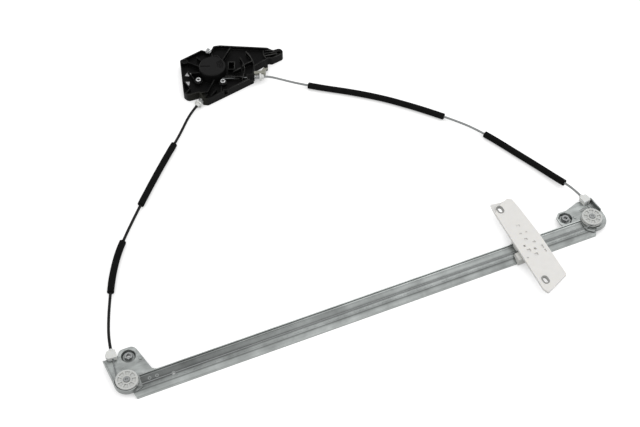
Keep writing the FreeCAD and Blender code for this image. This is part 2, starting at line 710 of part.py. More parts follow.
def report_route(name, route, radius, solid):
    """Print a conduit's bend radii and compare its volume with its section times its length."""
    path = route_path(route)
    radii = ", ".join("%.0f" % arc[3] for arc in bends(route))
    share = solid.Volume / (math.pi * radius ** 2 * path.Length)
    print("%s: length %.1f, volume ratio %.4f, bend radii %s" % (name, path.Length, share, radii))


def conduit_routes():
    """Both conduits' routes, closed with their ends at the housing and at the rail."""
    routes = {}
    for name, side, inner, collar, exit_z, lead, lean, fitting_y in (
            ("left_conduit", -1, LEFT_ROUTE, LEFT_COLLAR, LEFT_EXIT_Z, LEFT_HOUSING_LEAD,
             LEFT_LEAN, LEFT_FITTING_Y),
            ("right_conduit", 1, RIGHT_ROUTE, RIGHT_COLLAR, RIGHT_EXIT_Z, RIGHT_HOUSING_LEAD,
             RIGHT_LEAN, RIGHT_FITTING_Y)):
        heading, middle = exit_line(collar, side)
        tip = middle + heading * (COLLAR_T / 2 + NOSE_LENGTH) + V(DRUM_X, DRUM_Y, exit_z)
        end, direction, _ = fitting_frame(lean, fitting_y)
        last = V(side * end.x, end.y + RAIL_Y, WIRE_Z)
        entry = V(-side * direction.x, -direction.y, 0)
        routes[name] = ([tip, tip + heading * lead] + [V(*point) for point in inner]
                        + [last + entry * RAIL_LEAD, last])
    return routes


def conduits():
    """Both conduits and their sleeves, which run from one run of the route to another."""
    sleeves = {"left_conduit": {"left_upper_sleeve": (2, 5), "left_lower_sleeve": (7, 10)},
               "right_conduit": {"right_upper_sleeve": (3, 8), "right_lower_sleeve": (10, 14)}}
    parts = {}
    for name, route in conduit_routes().items():
        radius = LEFT_CONDUIT_R if name == "left_conduit" else RIGHT_CONDUIT_R
        parts[name] = swept(route_path(route), [radius])
        report_route(name, route, radius, parts[name])
        for sleeve, (first, last) in sleeves[name].items():
            parts[sleeve] = swept(route_path(route, first, last), [SLEEVE_R, radius + SEAT_GAP])
    return parts


# Cable exits of the housing


def exit_line(collar, side):
    """Outward direction of the wire through a collar, tangent to the drum, and the collar."""
    middle = V(collar[0], collar[1], 0)
    away = math.atan2(middle.y, middle.x)
    swing = math.asin(DRUM_PITCH_R / middle.Length)
    angle = away - swing if side < 0 else away + swing
    return V(math.cos(angle), math.sin(angle), 0), middle


def on_exit(shape, collar, side, exit_z):
    """Turn a piece built along +X, with the collar's middle at 0, onto its exit line."""
    heading, middle = exit_line(collar, side)
    shape.rotate(V(0, 0, 0), UP, math.degrees(math.atan2(heading.y, heading.x)))
    shape.translate(V(middle.x, middle.y, exit_z))
    return shape


def rod_x(radius, x0, x1):
    """A rod along X on the axis."""
    return Part.makeCylinder(radius, x1 - x0, V(x0, 0, 0), V(1, 0, 0))


def spring_foot():
    """Inner end of the tension spring, from the collar's middle."""
    return -COLLAR_T / 2 - SPRING_LENGTH


def collar_fitting(collar, side, exit_z):
    """White collar that ends a conduit and guides its tension spring."""
    half = COLLAR_T / 2
    nose = Part.makeCone(NOSE_BASE_R, NOSE_TIP_R, NOSE_LENGTH, V(half, 0, 0), V(1, 0, 0))
    tube_end = spring_foot() - SEAT_DEPTH
    body = joined(rod_x(COLLAR_R, -half, half), [nose, rod_x(TUBE_R, tube_end, -half)])
    body = body.cut(rod_x(BORE_CLEAR_R, tube_end - 1, half + NOSE_LENGTH + 1))
    return on_exit(body, collar, side, exit_z)


def tension_spring(collar, side, exit_z):
    """Coil spring between a collar and the housing, as a helix of flat-sided steps."""
    length = SPRING_LENGTH - 2 * SPRING_WIRE_R
    total = SPRING_TURNS * SPRING_STEPS
    start = spring_foot() + SPRING_WIRE_R
    rings = []
    for i in range(total + 1):
        angle = 2 * math.pi * i / SPRING_STEPS
        out = V(0, math.cos(angle), math.sin(angle))
        centre = V(start + length * i / total, 0, 0) + out * SPRING_COIL_R
        points = []
        for j in range(SPRING_SIDES):
            turn = 2 * math.pi * j / SPRING_SIDES
            points.append(centre + (out * math.cos(turn) + V(1, 0, 0) * math.sin(turn)) * SPRING_WIRE_R)
        rings.append(Part.makePolygon(points + [points[0]]))
    return on_exit(Part.makeLoft(rings, True, True), collar, side, exit_z)


def drum_lead(collar, side, exit_z):
    """Wire between the drum and the conduit, as far as it stays clear of the turning drum."""
    _, middle = exit_line(collar, side)
    tangent_x = -math.sqrt(middle.Length ** 2 - DRUM_PITCH_R ** 2)
    clear_r = DRUM_FLANGE_R + RUN_GAP
    inner_edge = DRUM_PITCH_R - WIRE_R
    first_x = tangent_x + math.sqrt(clear_r ** 2 - inner_edge ** 2)
    return on_exit(rod_x(WIRE_R, first_x, COLLAR_T / 2 + NOSE_LENGTH), collar, side, exit_z)


# Carrier


def slot_places():
    """Middles of the near and the far slot, across the rail."""
    return SLOT_MID_Y - SLOT_PITCH / 2, SLOT_MID_Y + SLOT_PITCH / 2


def carrier_corners():
    """Outline of the carrier plate round its slot line."""
    near, far = slot_places()
    return [(-8.6, far + 15.15, 2.0), (12.0, far + 11.55, 4.0), (18.5, far + 14.55, 3.0),
            (25.0, far + 10.65, 4.0), (27.4, far - 8.85, 30.0), (31.0, 10.0, 60.0),
            (31.8, near - 3.15, 3.0), (-6.8, near - 20.3, 3.0), (-10.0, near - 12.15, 6.0),
            (-10.0, far - 6.85, 20.0)]


def inset(corners, distance):
    """The outline moved inwards, as a wire at the same height."""
    return rounded_wire(corners).makeOffset2D(-distance)


def carrier_plate():
    """Moulded carrier: ribbed wings, a solid middle, slot seats and pockets in its top."""
    corners = carrier_corners()
    plate = slab(corners, CARRIER_Z, CARRIER_TOP_Z)
    hollow = Part.Face(inset(corners, CARRIER_RIM)).extrude(V(0, 0, CARRIER_T - CARRIER_SKIN))
    hollow.translate(V(0, 0, CARRIER_Z))
    middle = block(-60, 60, -24, 24, CARRIER_Z - 1, CARRIER_TOP_Z + 1)
    keep = [middle]
    for sign, slot_y in zip((-1, 1), slot_places()):
        keep.append(stadium(0, slot_y, SLOT_HALF_W + 2 * BUSH_WALL, SLOT_LENGTH + 4 * BUSH_WALL,
                            CARRIER_Z - 1, CARRIER_TOP_Z))
        for share in (0.35, 0.62):
            rib_y = share * slot_y
            keep.append(block(-60, 60, rib_y - 0.8, rib_y + 0.8, CARRIER_Z - 1, CARRIER_TOP_Z))
        keep.append(bar((10.5, sign * 20), (13.5, sign * 116), 1.6, CARRIER_Z - 1, CARRIER_TOP_Z))
    hollow = cut_all(hollow, keep)
    tools = [hollow]
    for slot_y in slot_places():
        tools.append(stadium(0, slot_y, SLOT_HALF_W + BUSH_WALL, SLOT_LENGTH + 2 * BUSH_WALL,
                             CARRIER_Z - 1, CARRIER_TOP_Z + 1))
    far = slot_places()[1]
    low_corner = slab([(-20, far - 4.85, 0), (-9.0, far - 1.85, 0), (11.0, far + 13.75, 0),
                       (11.0, far + 26.15, 0), (-20, far + 26.15, 0)],
                      CARRIER_TOP_Z - STEP_DOWN, CARRIER_TOP_Z + 1)
    tools.append(low_corner)
    tools += carrier_pockets()
    return one_solid(cut_all(plate, tools))


def carrier_pockets():
    """Two round holes and soft moulded pockets round the middle of the carrier's top."""
    top = CARRIER_TOP_Z + 1
    tools = [cylinder(1.2, -1.7, CARRIER_TOP_Z - 2.6, top, 1.7),
             cylinder(12.9, -11.4, CARRIER_TOP_Z - 2.6, top, 2.0)]
    for x, y, w, h, depth in POCKETS:
        outline = [(x - w / 2, y - h / 2, 0.6), (x + w / 2, y - h / 2, 0.6),
                   (x + w / 2, y + h / 2, 0.6), (x - w / 2, y + h / 2, 0.6)]
        tools.append(slab(outline, CARRIER_TOP_Z - depth, top))
    return tools


def slot_bushes():
    """Two metal bushes that line the carrier's slots."""
    bushes = []
    for slot_y in slot_places():
        outer = stadium(0, slot_y, SLOT_HALF_W + BUSH_WALL, SLOT_LENGTH + 2 * BUSH_WALL,
                        CARRIER_Z, CARRIER_TOP_Z + BUSH_PROUD)
        inner = stadium(0, slot_y, SLOT_HALF_W, SLOT_LENGTH, CARRIER_Z - 1, CARRIER_TOP_Z + BUSH_PROUD + 1)
        bushes.append(one_solid(outer.cut(inner)))
    return Part.makeCompound(bushes)


def guide_shoe():
    """Sliding shoe that wraps the rail: over the web, round both edges and under the web."""
    gap = RAIL_SHEET / 2 + RUN_GAP
    line = rail_line()
    over = beside(line, -gap)
    under = beside(line, gap)
    if over[2].y < under[2].y:
        over, under = under, over
    far = LIP_Y + RUN_GAP
    lip_top = line[0].y + RUN_GAP
    near = over[4].x
    top = CARRIER_Z
    hook_z = under[1].y - SHOE_HOOK_T
    section = [(far + SHOE_WALL, top, 0), (far + SHOE_WALL, hook_z, 0.6), (1.5, hook_z, 0.6),
               (1.5, under[1].y, 0.4), (far, under[1].y, 0), (far, lip_top, 0),
               (over[0].x, lip_top, 0), (over[1].x, over[1].y, RAIL_BEND_R), (over[2].x, over[2].y, 0),
               (over[3].x, over[3].y, 0), (near, 1.2, 0), (near - SHOE_WALL, 1.2, 0.6),
               (near - SHOE_WALL, top, 0)]
    shoe = along_x(section, SHOE_LEFT - SHOE_TAB, SHOE_RIGHT)
    tab_y = WIRE_Y - 3.0
    tools = [block(SHOE_LEFT - SHOE_TAB - 1, SHOE_LEFT, tab_y, 40, 0, top + 1),
             block(SHOE_LEFT - SHOE_TAB - 1, SHOE_LEFT, -40, 40, top - 2.6, top + 1)]
    wire_hole = Part.makeCylinder(BORE_CLEAR_R + RUN_GAP, 90, V(-40, WIRE_Y, WIRE_Z), V(1, 0, 0))
    tools.append(wire_hole)
    for x in nipple_places():
        tools.append(Part.makeCylinder(NIPPLE_R + SEAT_GAP, NIPPLE_LENGTH, V(x, WIRE_Y, WIRE_Z), V(1, 0, 0)))
    return one_solid(cut_all(shoe, tools))


def nipple_places():
    """Where each nipple starts along the shoe."""
    return (SHOE_LEFT + NIPPLE_INSET, SHOE_RIGHT - NIPPLE_INSET - NIPPLE_LENGTH)


def nipple(x):
    """Crimped end of a wire, held in its seat in the shoe."""
    body = Part.makeCylinder(NIPPLE_R, NIPPLE_LENGTH, V(x, WIRE_Y, WIRE_Z), V(1, 0, 0))
    return body.cut(Part.makeCylinder(BORE_CLEAR_R, NIPPLE_LENGTH + 2, V(x - 1, WIRE_Y, WIRE_Z), V(1, 0, 0)))


# Cable drum


def cable_drum():
    """Grooved drum with a keyed drive socket below and a bearing bore above."""
    band_r = DRUM_PITCH_R - WIRE_R
    low = DRUM_LOW_Z
    top = DRUM_TOP_Z
    bore_r = SPIGOT_R + PIN_GAP
    profile = [(SOCKET_R, RUN_GAP), (HUB_R, RUN_GAP), (HUB_R, low), (DRUM_FLANGE_R, low),
               (DRUM_FLANGE_R, GROOVE_Z)]
    for i in range(GROOVES):
        z = GROOVE_Z + i * TURN_PITCH
        profile += [(band_r, z), (band_r - GROOVE_DEPTH, z + TURN_PITCH / 2)]
    profile += [(band_r, top - DRUM_FLANGE_T), (DRUM_FLANGE_R, top - DRUM_FLANGE_T),
                (DRUM_FLANGE_R, top), (bore_r, top),
                (bore_r, top - SPIGOT_LENGTH), (SOCKET_R, top - SPIGOT_LENGTH)]
    floor_z = SOCKET_DEPTH + RUN_GAP
    drum = revolve(profile)
    floor = cylinder(0, 0, floor_z, top - SPIGOT_LENGTH, SOCKET_R)
    drum = joined(drum, [floor])
    keys = []
    for i in range(KEY_COUNT):
        key = block(SOCKET_R - 0.5, SOCKET_R + KEY_DEPTH, -KEY_W / 2, KEY_W / 2, 0, floor_z)
        key.rotate(V(0, 0, 0), UP, i * 360.0 / KEY_COUNT)
        keys.append(key)
    return one_solid(cut_all(drum, keys))


def drum_wire():
    """Wire wound on the drum: each turn lies in its own groove."""
    used = list(range(LEFT_TURNS)) + list(range(LEFT_TURNS + SPARE_TURNS, GROOVES))
    coils = []
    for i in used:
        z = GROOVE_Z + (i + 0.5) * TURN_PITCH
        section = [polar(WIRE_R, 45 * k) for k in range(8)]
        coils.append(revolve([(DRUM_PITCH_R + 0.01 + point.x, z + point.y) for point in section]))
    return Part.makeCompound(coils)


# Drum housing


def housing_corners():
    """Outline of the housing round the drum's axis."""
    return [(-41.0, 43.0, 4.0), (-1.0, 52.5, 2.0), (4.0, 47.5, 1.0), (13.5, 46.0, 1.0),
            (20.0, 53.5, 3.0), (30.0, 51.5, 6.0), (100.0, 16.5, 4.0), (106.0, 7.5, 2.0),
            (118.5, 7.5, 6.0), (122.0, -5.0, 6.5), (98.0, -9.5, 2.0), (93.0, -6.5, 2.0),
            (66.0, -15.0, 3.0), (56.0, -37.5, 3.0), (-27.5, -55.5, 3.0), (-34.5, -51.5, 2.0),
            (-34.5, -36.0, 2.0), (-54.0, -35.5, 7.0), (-58.0, -26.0, 6.0)]


def bush_places():
    """Where the drive unit's threaded bushes stand, each with the height of its top."""
    tops = (BUSH_TOP_Z, BUSH_TOP_Z, BLIND_BUSH_TOP_Z)
    return [(polar(BUSH_CIRCLE_R, angle), top) for angle, top in zip(BUSH_ANGLES, tops)]


def under_ribs():
    """Ribs inside the open underside, from the drum chamber to the skirt."""
    lines = [((18, 10), (62, 26)), ((14, 14), (24, 50)), ((-14, 14), (-34, 34)),
             ((62, 26), (98, 6)), ((62, 26), (64, -12))]
    roof = FLOOR_TOP_Z - HOUSING_SKIN / 2
    return [bar(a, b, RIB_T, roof - UNDER_RIB, roof) for a, b in lines]


def top_ribs():
    """Thin ribs that stand on the housing's deck."""
    low = FLOOR_TOP_Z - HOUSING_SKIN / 2
    arcs = [(0, 0, 50.5, -42, 12), (0, 0, 66.3, -16, 17), (TIP_HOLE[0], TIP_HOLE[1], 24.0, 150, 212)]
    ribs = [arc_wall(x, y, r, r + RIB_T, low, RIB_TOP_Z, start, end) for x, y, r, start, end in arcs]
    lines = [((-4.0, -20.0), (-22.9, -41.7)), ((-22.9, -41.7), (-32.8, -39.5)),
             ((-8.3, -42.1), (-21.0, -52.0)), ((1.4, -38.5), (-3.5, -50.5)),
             ((14.0, -20.0), (39.5, -31.5)), ((30.0, -15.3), (44.0, -12.0)),
             ((-37.4, 14.1), (-33.7, -6.8)), ((-21.0, 3.0), (-34.0, 7.0)),
             ((-50.5, -4.0), (-46.0, -24.0)), ((-46.0, -24.0), (-55.0, -31.0)),
             ((-16.0, 15.0), (-31.0, 33.0)), ((-7.0, 20.5), (-14.0, 38.0)), ((7.0, 20.5), (11.5, 36.0)),
             ((18.0, 12.0), (44.0, 38.0)), ((48.0, -8.0), (67.0, -4.0)),
             ((90.0, -1.3), (108.0, -3.5)), ((91.0, 4.0), (108.0, 1.0)), ((94.0, 10.0), (106.0, 5.5))]
    for start, end in lines:
        ribs.append(bar(start, end, RIB_T, low, RIB_TOP_Z))
    return ribs


def turned_box(x, y, half_w, half_l, low, high):
    """An upright box turned to the line of the deck's wells."""
    box = block(-half_w, half_w, -half_l, half_l, low, high)
    box.rotate(V(0, 0, 0), UP, WELL_TURN)
    box.translate(V(x, y, 0))
    return box


def wells():
    """Deep boxes in the deck, with closed floors: outer blocks and the room inside them."""
    outer = []
    room = []
    for x, y, half_w, half_l, top in WELLS:
        outer.append(turned_box(x, y, half_w + WELL_WALL, half_l + WELL_WALL, WELL_LOW_Z, top))
        room.append(turned_box(x, y, half_w, half_l, WELL_LOW_Z + WELL_WALL, top + 1))
    return outer, room


def deck_windows():
    """Three-cornered openings through the deck."""
    low = FLOOR_TOP_Z - HOUSING_SKIN - 1
    high = FLOOR_TOP_Z + 1
    outlines = [[(-44.5, 12.5, 1), (-37.0, 19.5, 1), (-31.0, 14.5, 1), (-35.5, 8.0, 1)],
                [(-47.0, 1.5, 1), (-39.5, -1.5, 1), (-44.5, -12.5, 1)]]
    return [slab(outline, low, high) for outline in outlines]


def dome():
    """Drum's dome, with its flat top a little smaller than its foot."""
    foot_z = COVER_T
    profile = [(0, foot_z), (DOME_BASE_R, foot_z), (DOME_BASE_R, FLOOR_TOP_Z + 1.5),
               (DOME_TOP_R, DOME_TOP_Z - 1.4), (DOME_TOP_R - 1.2, DOME_TOP_Z), (0, DOME_TOP_Z)]
    return revolve(profile)


def dome_details():
    """Slot and arc-shaped grooves pressed into the dome's top."""
    deep = DOME_TOP_Z - DOME_GROOVE
    high = DOME_TOP_Z + 1
    grooves = [arc_wall(0, 0, r, r + 1.3, deep, high, -42, 26) for r in (8.6, 11.2, 13.8, 16.4)]
    return [bar((-18.2, 6.0), (-3.5, 0.0), 1.8, deep, high)] + grooves


def exit_tools(collar, side, exit_z):
    """Boss and bores where a conduit's fitting and spring enter the housing."""
    foot = spring_foot()
    boss = rod_x(EXIT_BOSS_R, foot - SEAT_DEPTH - 2.0, foot + SEAT_DEPTH)
    seat = rod_x(SPRING_COIL_R + SPRING_WIRE_R + RUN_GAP, foot, foot + 2.5 * SEAT_DEPTH)
    bore = rod_x(TUBE_R + RUN_GAP, foot - SEAT_DEPTH - 1.0, foot + 1)
    _, middle = exit_line(collar, side)
    reach = math.sqrt(middle.Length ** 2 - DRUM_PITCH_R ** 2)
    lead = rod_x(WIRE_R + 2 * RUN_GAP, -reach, foot + 1)
    return [on_exit(piece, collar, side, exit_z) for piece in (boss, seat, bore, lead)]


def drum_housing():
    """Moulded housing: walled deck with the drum's dome, bosses, ribs, wells and windows."""
    corners = housing_corners()
    shell = slab(corners, 0, HOUSING_TOP_Z)
    for low, high in ((0, FLOOR_TOP_Z - HOUSING_SKIN), (FLOOR_TOP_Z, HOUSING_TOP_Z)):
        hollow = Part.Face(inset(corners, HOUSING_WALL)).extrude(V(0, 0, high - low))
        hollow.translate(V(0, 0, low))
        shell = shell.cut(hollow)
    well_blocks, well_rooms = wells()
    within = slab(corners, 0, DOME_TOP_Z)
    added = [dome()] + [piece.common(within) for piece in under_ribs() + top_ribs() + well_blocks]
    removed = deck_windows() + dome_details() + well_rooms
    added.append(cylinder(TIP_HOLE[0], TIP_HOLE[1], 0, HOUSING_TOP_Z, TIP_BOSS_R))
    removed.append(cylinder(TIP_HOLE[0], TIP_HOLE[1], -1, HOUSING_TOP_Z + 1, TIP_HOLE_R))
    x, y = CORNER_HOLE
    added.append(cylinder(x, y, 0, HOUSING_TOP_Z + 0.6, CORNER_BOSS_R))
    removed.append(cylinder(x, y, -1, CORNER_HOLE_DEPTH, CORNER_HOLE_R))
    removed.append(cylinder(x, y, HOUSING_TOP_Z - 0.4, HOUSING_TOP_Z + 1, CORNER_BOSS_R - RIB_T))
    for place, top in bush_places():
        blind = top < BUSH_TOP_Z
        boss_top = top + HOUSING_SKIN if blind else top - BUSH_PROUD_Z
        added.append(cylinder(place.x, place.y, COVER_T, boss_top, BUSH_BOSS_R))
        removed.append(cylinder(place.x, place.y, -1, top, BUSH_R))
    for collar, side, exit_z in ((LEFT_COLLAR, -1, LEFT_EXIT_Z), (RIGHT_COLLAR, 1, RIGHT_EXIT_Z)):
        boss, seat, bore, lead = exit_tools(collar, side, exit_z)
        added.append(boss)
        removed += [seat, bore, lead]
    removed.append(cylinder(0, 0, -1, DOME_TOP_Z - DOME_SKIN, CHAMBER_R))
    removed.append(cover_blank(RUN_GAP))
    x, y = EDGE_SCREW
    added.append(cylinder(x, y, FLOOR_TOP_Z - 5.0, HOUSING_TOP_Z, EDGE_BOSS_R))
    removed.append(cylinder(x, y, HOUSING_TOP_Z - 8.0, HOUSING_TOP_Z + 8.0, 1.5))
    body = cut_all(joined(shell, added), removed)
    spigot_z = DRUM_TOP_Z - SPIGOT_LENGTH + RUN_GAP
    spigot = cylinder(0, 0, spigot_z, DOME_TOP_Z - DOME_SKIN + 0.5, SPIGOT_R)
    return one_solid(body.fuse(spigot).removeSplitter())


def cover_blank(gap=0.0):
    """Outline block of the drum's cover: a disc with an ear under each bush."""
    disc = cylinder(0, 0, -gap, COVER_T, COVER_R + gap)
    ears = []
    for place, _ in bush_places():
        ears.append(bar((0, 0), (place.x, place.y), 2 * (BUSH_BOSS_R + gap), -gap, COVER_T))
        ears.append(cylinder(place.x, place.y, -gap, COVER_T, BUSH_BOSS_R + gap))
    return joined(disc, ears)


def drum_cover():
    """Cover that keeps the drum in the housing, clamped at the three bushes."""
    holes = [cylinder(place.x, place.y, -1, COVER_T + 1, BUSH_R) for place, _ in bush_places()]
    holes.append(cylinder(0, 0, -1, COVER_T + 1, HUB_R + PIN_GAP))
    return one_solid(cut_all(cover_blank(), holes))


def drive_bushes():
    """Threaded steel bushes for the drive unit's screws, with a chamfered top."""
    bushes = []
    for place, top in bush_places():
        profile = [(BUSH_BORE_R, 0), (BUSH_R, 0), (BUSH_R, top - 0.5), (BUSH_R - 0.5, top),
                   (BUSH_BORE_R + 0.4, top), (BUSH_BORE_R, top - 0.4)]
        bushes.append(revolve(profile, place.x, place.y))
    return Part.makeCompound(bushes)


def edge_screw():
    """Small zinc screw with a washer, head and stud at the notch in the far edge."""
    z = HOUSING_TOP_Z
    profile = [(0, z - 7.0), (1.5, z - 7.0), (1.5, z), (EDGE_BOSS_R, z), (EDGE_BOSS_R, z + 0.8),
               (EDGE_SCREW_HEAD_R, z + 0.8), (EDGE_SCREW_HEAD_R, z + 3.6), (EDGE_SCREW_HEAD_R - 0.6, z + 4.2),
               (1.8, z + 4.2), (1.8, z + 6.6), (1.4, z + 7.0), (0, z + 7.0)]
    return revolve(profile, EDGE_SCREW[0], EDGE_SCREW[1])


def side_clip():
    """Grey moulded clip beside the right spring and collar, with an eye for its grommet."""
    mid_z = (GROMMET_LOW_Z + GROMMET_TOP_Z) / 2
    low = mid_z - CLIP_ARM_T / 2
    high = mid_z + CLIP_ARM_T / 2
    heading, middle = exit_line(RIGHT_COLLAR, 1)
    aside = V(-heading.y, heading.x, 0)
    near = COLLAR_R + RUN_GAP
    corners = []
    for along, off in ((-13.0, near), (7.0, near), (9.0, near + 3.5), (3.0, near + 6.5), (-13.0, near + 5.0)):
        point = middle + heading * along + aside * off
        corners.append((point.x, point.y, 0.8))
    rest = middle + heading * 2.0 + aside * (near + 3.0)
    arm = joined(slab(corners, low, high + 2.0),
                 [bar((rest.x, rest.y), GROMMET, CLIP_ARM_W, low, high),
                  cylinder(GROMMET[0], GROMMET[1], low, high, CLIP_ARM_W * 0.7)])
    arm = arm.cut(slab(housing_corners(), 0, HOUSING_TOP_Z))
    eye = cylinder(GROMMET[0], GROMMET[1], low + 0.6, high - 0.6, GROMMET_WAIST_R + 1.0)
    body = joined(arm, [eye])
    room = cylinder(GROMMET[0], GROMMET[1], low - 1, high + 1, GROMMET_R + SEAT_GAP)
    ring = cylinder(GROMMET[0], GROMMET[1], low + 0.6, high - 0.6, GROMMET_R + SEAT_GAP)
    hole = cylinder(GROMMET[0], GROMMET[1], low - 1, high + 1, GROMMET_WAIST_R)
    return one_solid(cut_all(body.cut(room.cut(ring)), [hole]))


def clip_grommet():
    """Dark rubber grommet in the clip's eye."""
    mid_z = (GROMMET_LOW_Z + GROMMET_TOP_Z) / 2
    low = mid_z - CLIP_ARM_T / 2 + 0.6
    high = mid_z + CLIP_ARM_T / 2 - 0.6
    profile = [(0, GROMMET_LOW_Z), (GROMMET_R - 0.8, GROMMET_LOW_Z), (GROMMET_R, GROMMET_LOW_Z + 0.8),
               (GROMMET_R, low), (GROMMET_WAIST_R, low), (GROMMET_WAIST_R, high), (GROMMET_R, high),
               (GROMMET_R, GROMMET_TOP_Z - 0.8), (GROMMET_R - 0.8, GROMMET_TOP_Z), (0, GROMMET_TOP_Z)]
    return revolve(profile, GROMMET[0], GROMMET[1])


def build():
    """Every piece in the regulator's frame, by name."""
    rail = {
        "guide_rail": guide_rail(),
        "left_bracket": left_bracket(),
        "right_bracket": right_bracket(),
        "bracket_rivets": bracket_rivets(),
        "left_weld_nut": weld_nut(-1, LEFT_PAD),
        "right_weld_nut": weld_nut(1, RIGHT_PAD),
        "left_pulley": pulley(-1),
        "right_pulley": pulley(1),
        "left_pulley_pin": pulley_pin(-1),
        "right_pulley_pin": pulley_pin(1),
        "left_rail_fitting": mirrored(rail_fitting(LEFT_LEAN, LEFT_FITTING_Y, LEFT_FITTING_WING,
                                                   LEFT_CONDUIT_R)),
        "right_rail_fitting": rail_fitting(RIGHT_LEAN, RIGHT_FITTING_Y, RIGHT_FITTING_WING, RIGHT_CONDUIT_R),
    }
    left_nipple_x, right_nipple_x = nipple_places()
    meet_x = CARRIER_X + (left_nipple_x + right_nipple_x + NIPPLE_LENGTH) / 2
    rail["left_wire"] = mirrored(rail_wire(LEFT_LEAN, LEFT_FITTING_Y, -meet_x))
    rail["right_wire"] = rail_wire(RIGHT_LEAN, RIGHT_FITTING_Y, meet_x)
    carrier = {
        "carrier_plate": carrier_plate(),
        "slot_bushes": slot_bushes(),
        "guide_shoe": guide_shoe(),
        "left_nipple": nipple(left_nipple_x),
        "right_nipple": nipple(right_nipple_x),
    }
    drum = {
        "drum_housing": drum_housing(),
        "drum_cover": drum_cover(),
        "cable_drum": cable_drum(),
        "drum_wire": drum_wire(),
        "drive_bushes": drive_bushes(),
        "edge_screw": edge_screw(),
        "side_clip": side_clip(),
        "clip_grommet": clip_grommet(),
        "left_collar": collar_fitting(LEFT_COLLAR, -1, LEFT_EXIT_Z),
        "right_collar": collar_fitting(RIGHT_COLLAR, 1, RIGHT_EXIT_Z),
        "left_tension_spring": tension_spring(LEFT_COLLAR, -1, LEFT_EXIT_Z),
        "right_tension_spring": tension_spring(RIGHT_COLLAR, 1, RIGHT_EXIT_Z),
        "left_drum_lead": drum_lead(LEFT_COLLAR, -1, LEFT_EXIT_Z),
        "right_drum_lead": drum_lead(RIGHT_COLLAR, 1, RIGHT_EXIT_Z),
    }
    parts = {}
    for group, place in ((rail, V(0, RAIL_Y, 0)), (carrier, V(CARRIER_X, RAIL_Y, 0)),
                         (drum, V(DRUM_X, DRUM_Y, 0))):
        for name, shape in group.items():
            shape.translate(place)
            parts[name] = shape
    parts.update(conduits())
    return parts


def main():
    """Write one STEP file for each piece."""
    os.makedirs("parts", exist_ok=True)
    for name, shape in build().items():
        if not shape.isValid():
            print("not valid:", name)
        shape.exportStep("parts/%s.step" % name)
        print("%-22s solids %d volume %9.1f" % (name, len(shape.Solids), shape.Volume))


main()
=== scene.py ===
"""Looks of a cable window regulator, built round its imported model."""

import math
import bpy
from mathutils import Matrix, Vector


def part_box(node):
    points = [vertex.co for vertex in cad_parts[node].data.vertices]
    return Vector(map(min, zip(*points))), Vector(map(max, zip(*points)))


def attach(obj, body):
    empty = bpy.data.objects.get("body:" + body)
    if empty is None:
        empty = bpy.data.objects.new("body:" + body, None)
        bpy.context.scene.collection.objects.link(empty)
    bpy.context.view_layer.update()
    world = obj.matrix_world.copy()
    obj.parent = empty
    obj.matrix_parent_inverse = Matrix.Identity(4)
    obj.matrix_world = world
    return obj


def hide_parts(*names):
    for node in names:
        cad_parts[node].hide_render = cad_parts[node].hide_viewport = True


bl_info = {
    "name": "Window Regulator Looks",
    "version": (1, 0, 0),
    "blender": (4, 5, 0),
    "location": "View3D > Sidebar > Regulator",
    "description": "Finishes, cords and fasteners of a cable window regulator",
    "category": "Object",
}

import bpy
from bpy.props import FloatProperty, FloatVectorProperty, IntProperty, PointerProperty
from bpy.types import Operator, Panel, PropertyGroup
from mathutils import Matrix, Vector, noise

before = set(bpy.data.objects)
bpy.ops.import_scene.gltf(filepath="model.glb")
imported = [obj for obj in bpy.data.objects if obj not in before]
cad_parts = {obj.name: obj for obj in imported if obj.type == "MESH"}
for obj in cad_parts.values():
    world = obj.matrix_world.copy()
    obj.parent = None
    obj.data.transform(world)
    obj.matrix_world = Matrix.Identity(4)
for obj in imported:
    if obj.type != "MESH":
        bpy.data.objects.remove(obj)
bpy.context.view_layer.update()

LEFT_ROUTE = (
    (-0.1069, 0.2089, 0.0070), (-0.1227, 0.1967, 0.0070), (-0.1500, 0.1630, 0.0056),
    (-0.1776, 0.1338, 0.0054), (-0.2065, 0.1015, 0.0054), (-0.2340, 0.0695, 0.0054),
    (-0.2590, 0.0390, 0.0054), (-0.2790, 0.0140, 0.0054), (-0.3000, -0.0140, 0.0054),
    (-0.3155, -0.0420, 0.0054), (-0.3260, -0.0655, 0.0054), (-0.3352, -0.0903, 0.0058),
    (-0.3450, -0.1190, 0.0082), (-0.3547, -0.1546, 0.0122), (-0.3568, -0.1745, 0.0122),
)
RIGHT_ROUTE = (
    (0.0122, 0.2237, 0.0123), (0.0198, 0.2211, 0.0123), (0.0335, 0.2125, 0.0098),
    (0.0555, 0.1970, 0.0064), (0.0895, 0.1725, 0.0054), (0.1300, 0.1455, 0.0054),
    (0.1710, 0.1140, 0.0054), (0.2080, 0.0785, 0.0054), (0.2300, 0.0555, 0.0054),
    (0.2566, 0.0260, 0.0054), (0.2755, 0.0015, 0.0054), (0.2945, -0.0330, 0.0054),
    (0.3120, -0.0700, 0.0054), (0.3270, -0.1005, 0.0056), (0.3415, -0.1360, 0.0078),
    (0.3529, -0.1662, 0.0122), (0.3561, -0.1860, 0.0122),
)
LINE_STEP = 0.0005         # points of a conduit's line, from which its sleeves are cut
SLEEVE_STEP = 0.004
SLEEVE_PLAY = 0.0001       # between a conduit and its sleeve
ROPE_STEP = 0.0008
ROPE_BEND_STEPS = 24       # points of the wire's bend round a pulley
WIRE_LEAN = {"left": math.radians(6.0), "right": math.radians(9.0)}  # between a fitting and its pulley
SPRING_START = 0.0070      # from the conduit's end
SPRING_LENGTH = 0.0130
SPRING_STEPS = 28          # points of one turn
NUT_STEPS = 96
NUT_TURN = math.radians(15.0)
CHAMFER_SHARE = 0.98       # of the nut's width across flats
CHAMFER_SLOPE = math.tan(math.radians(30.0))
THREAD_SHARE = 0.54        # thread's depth for its pitch
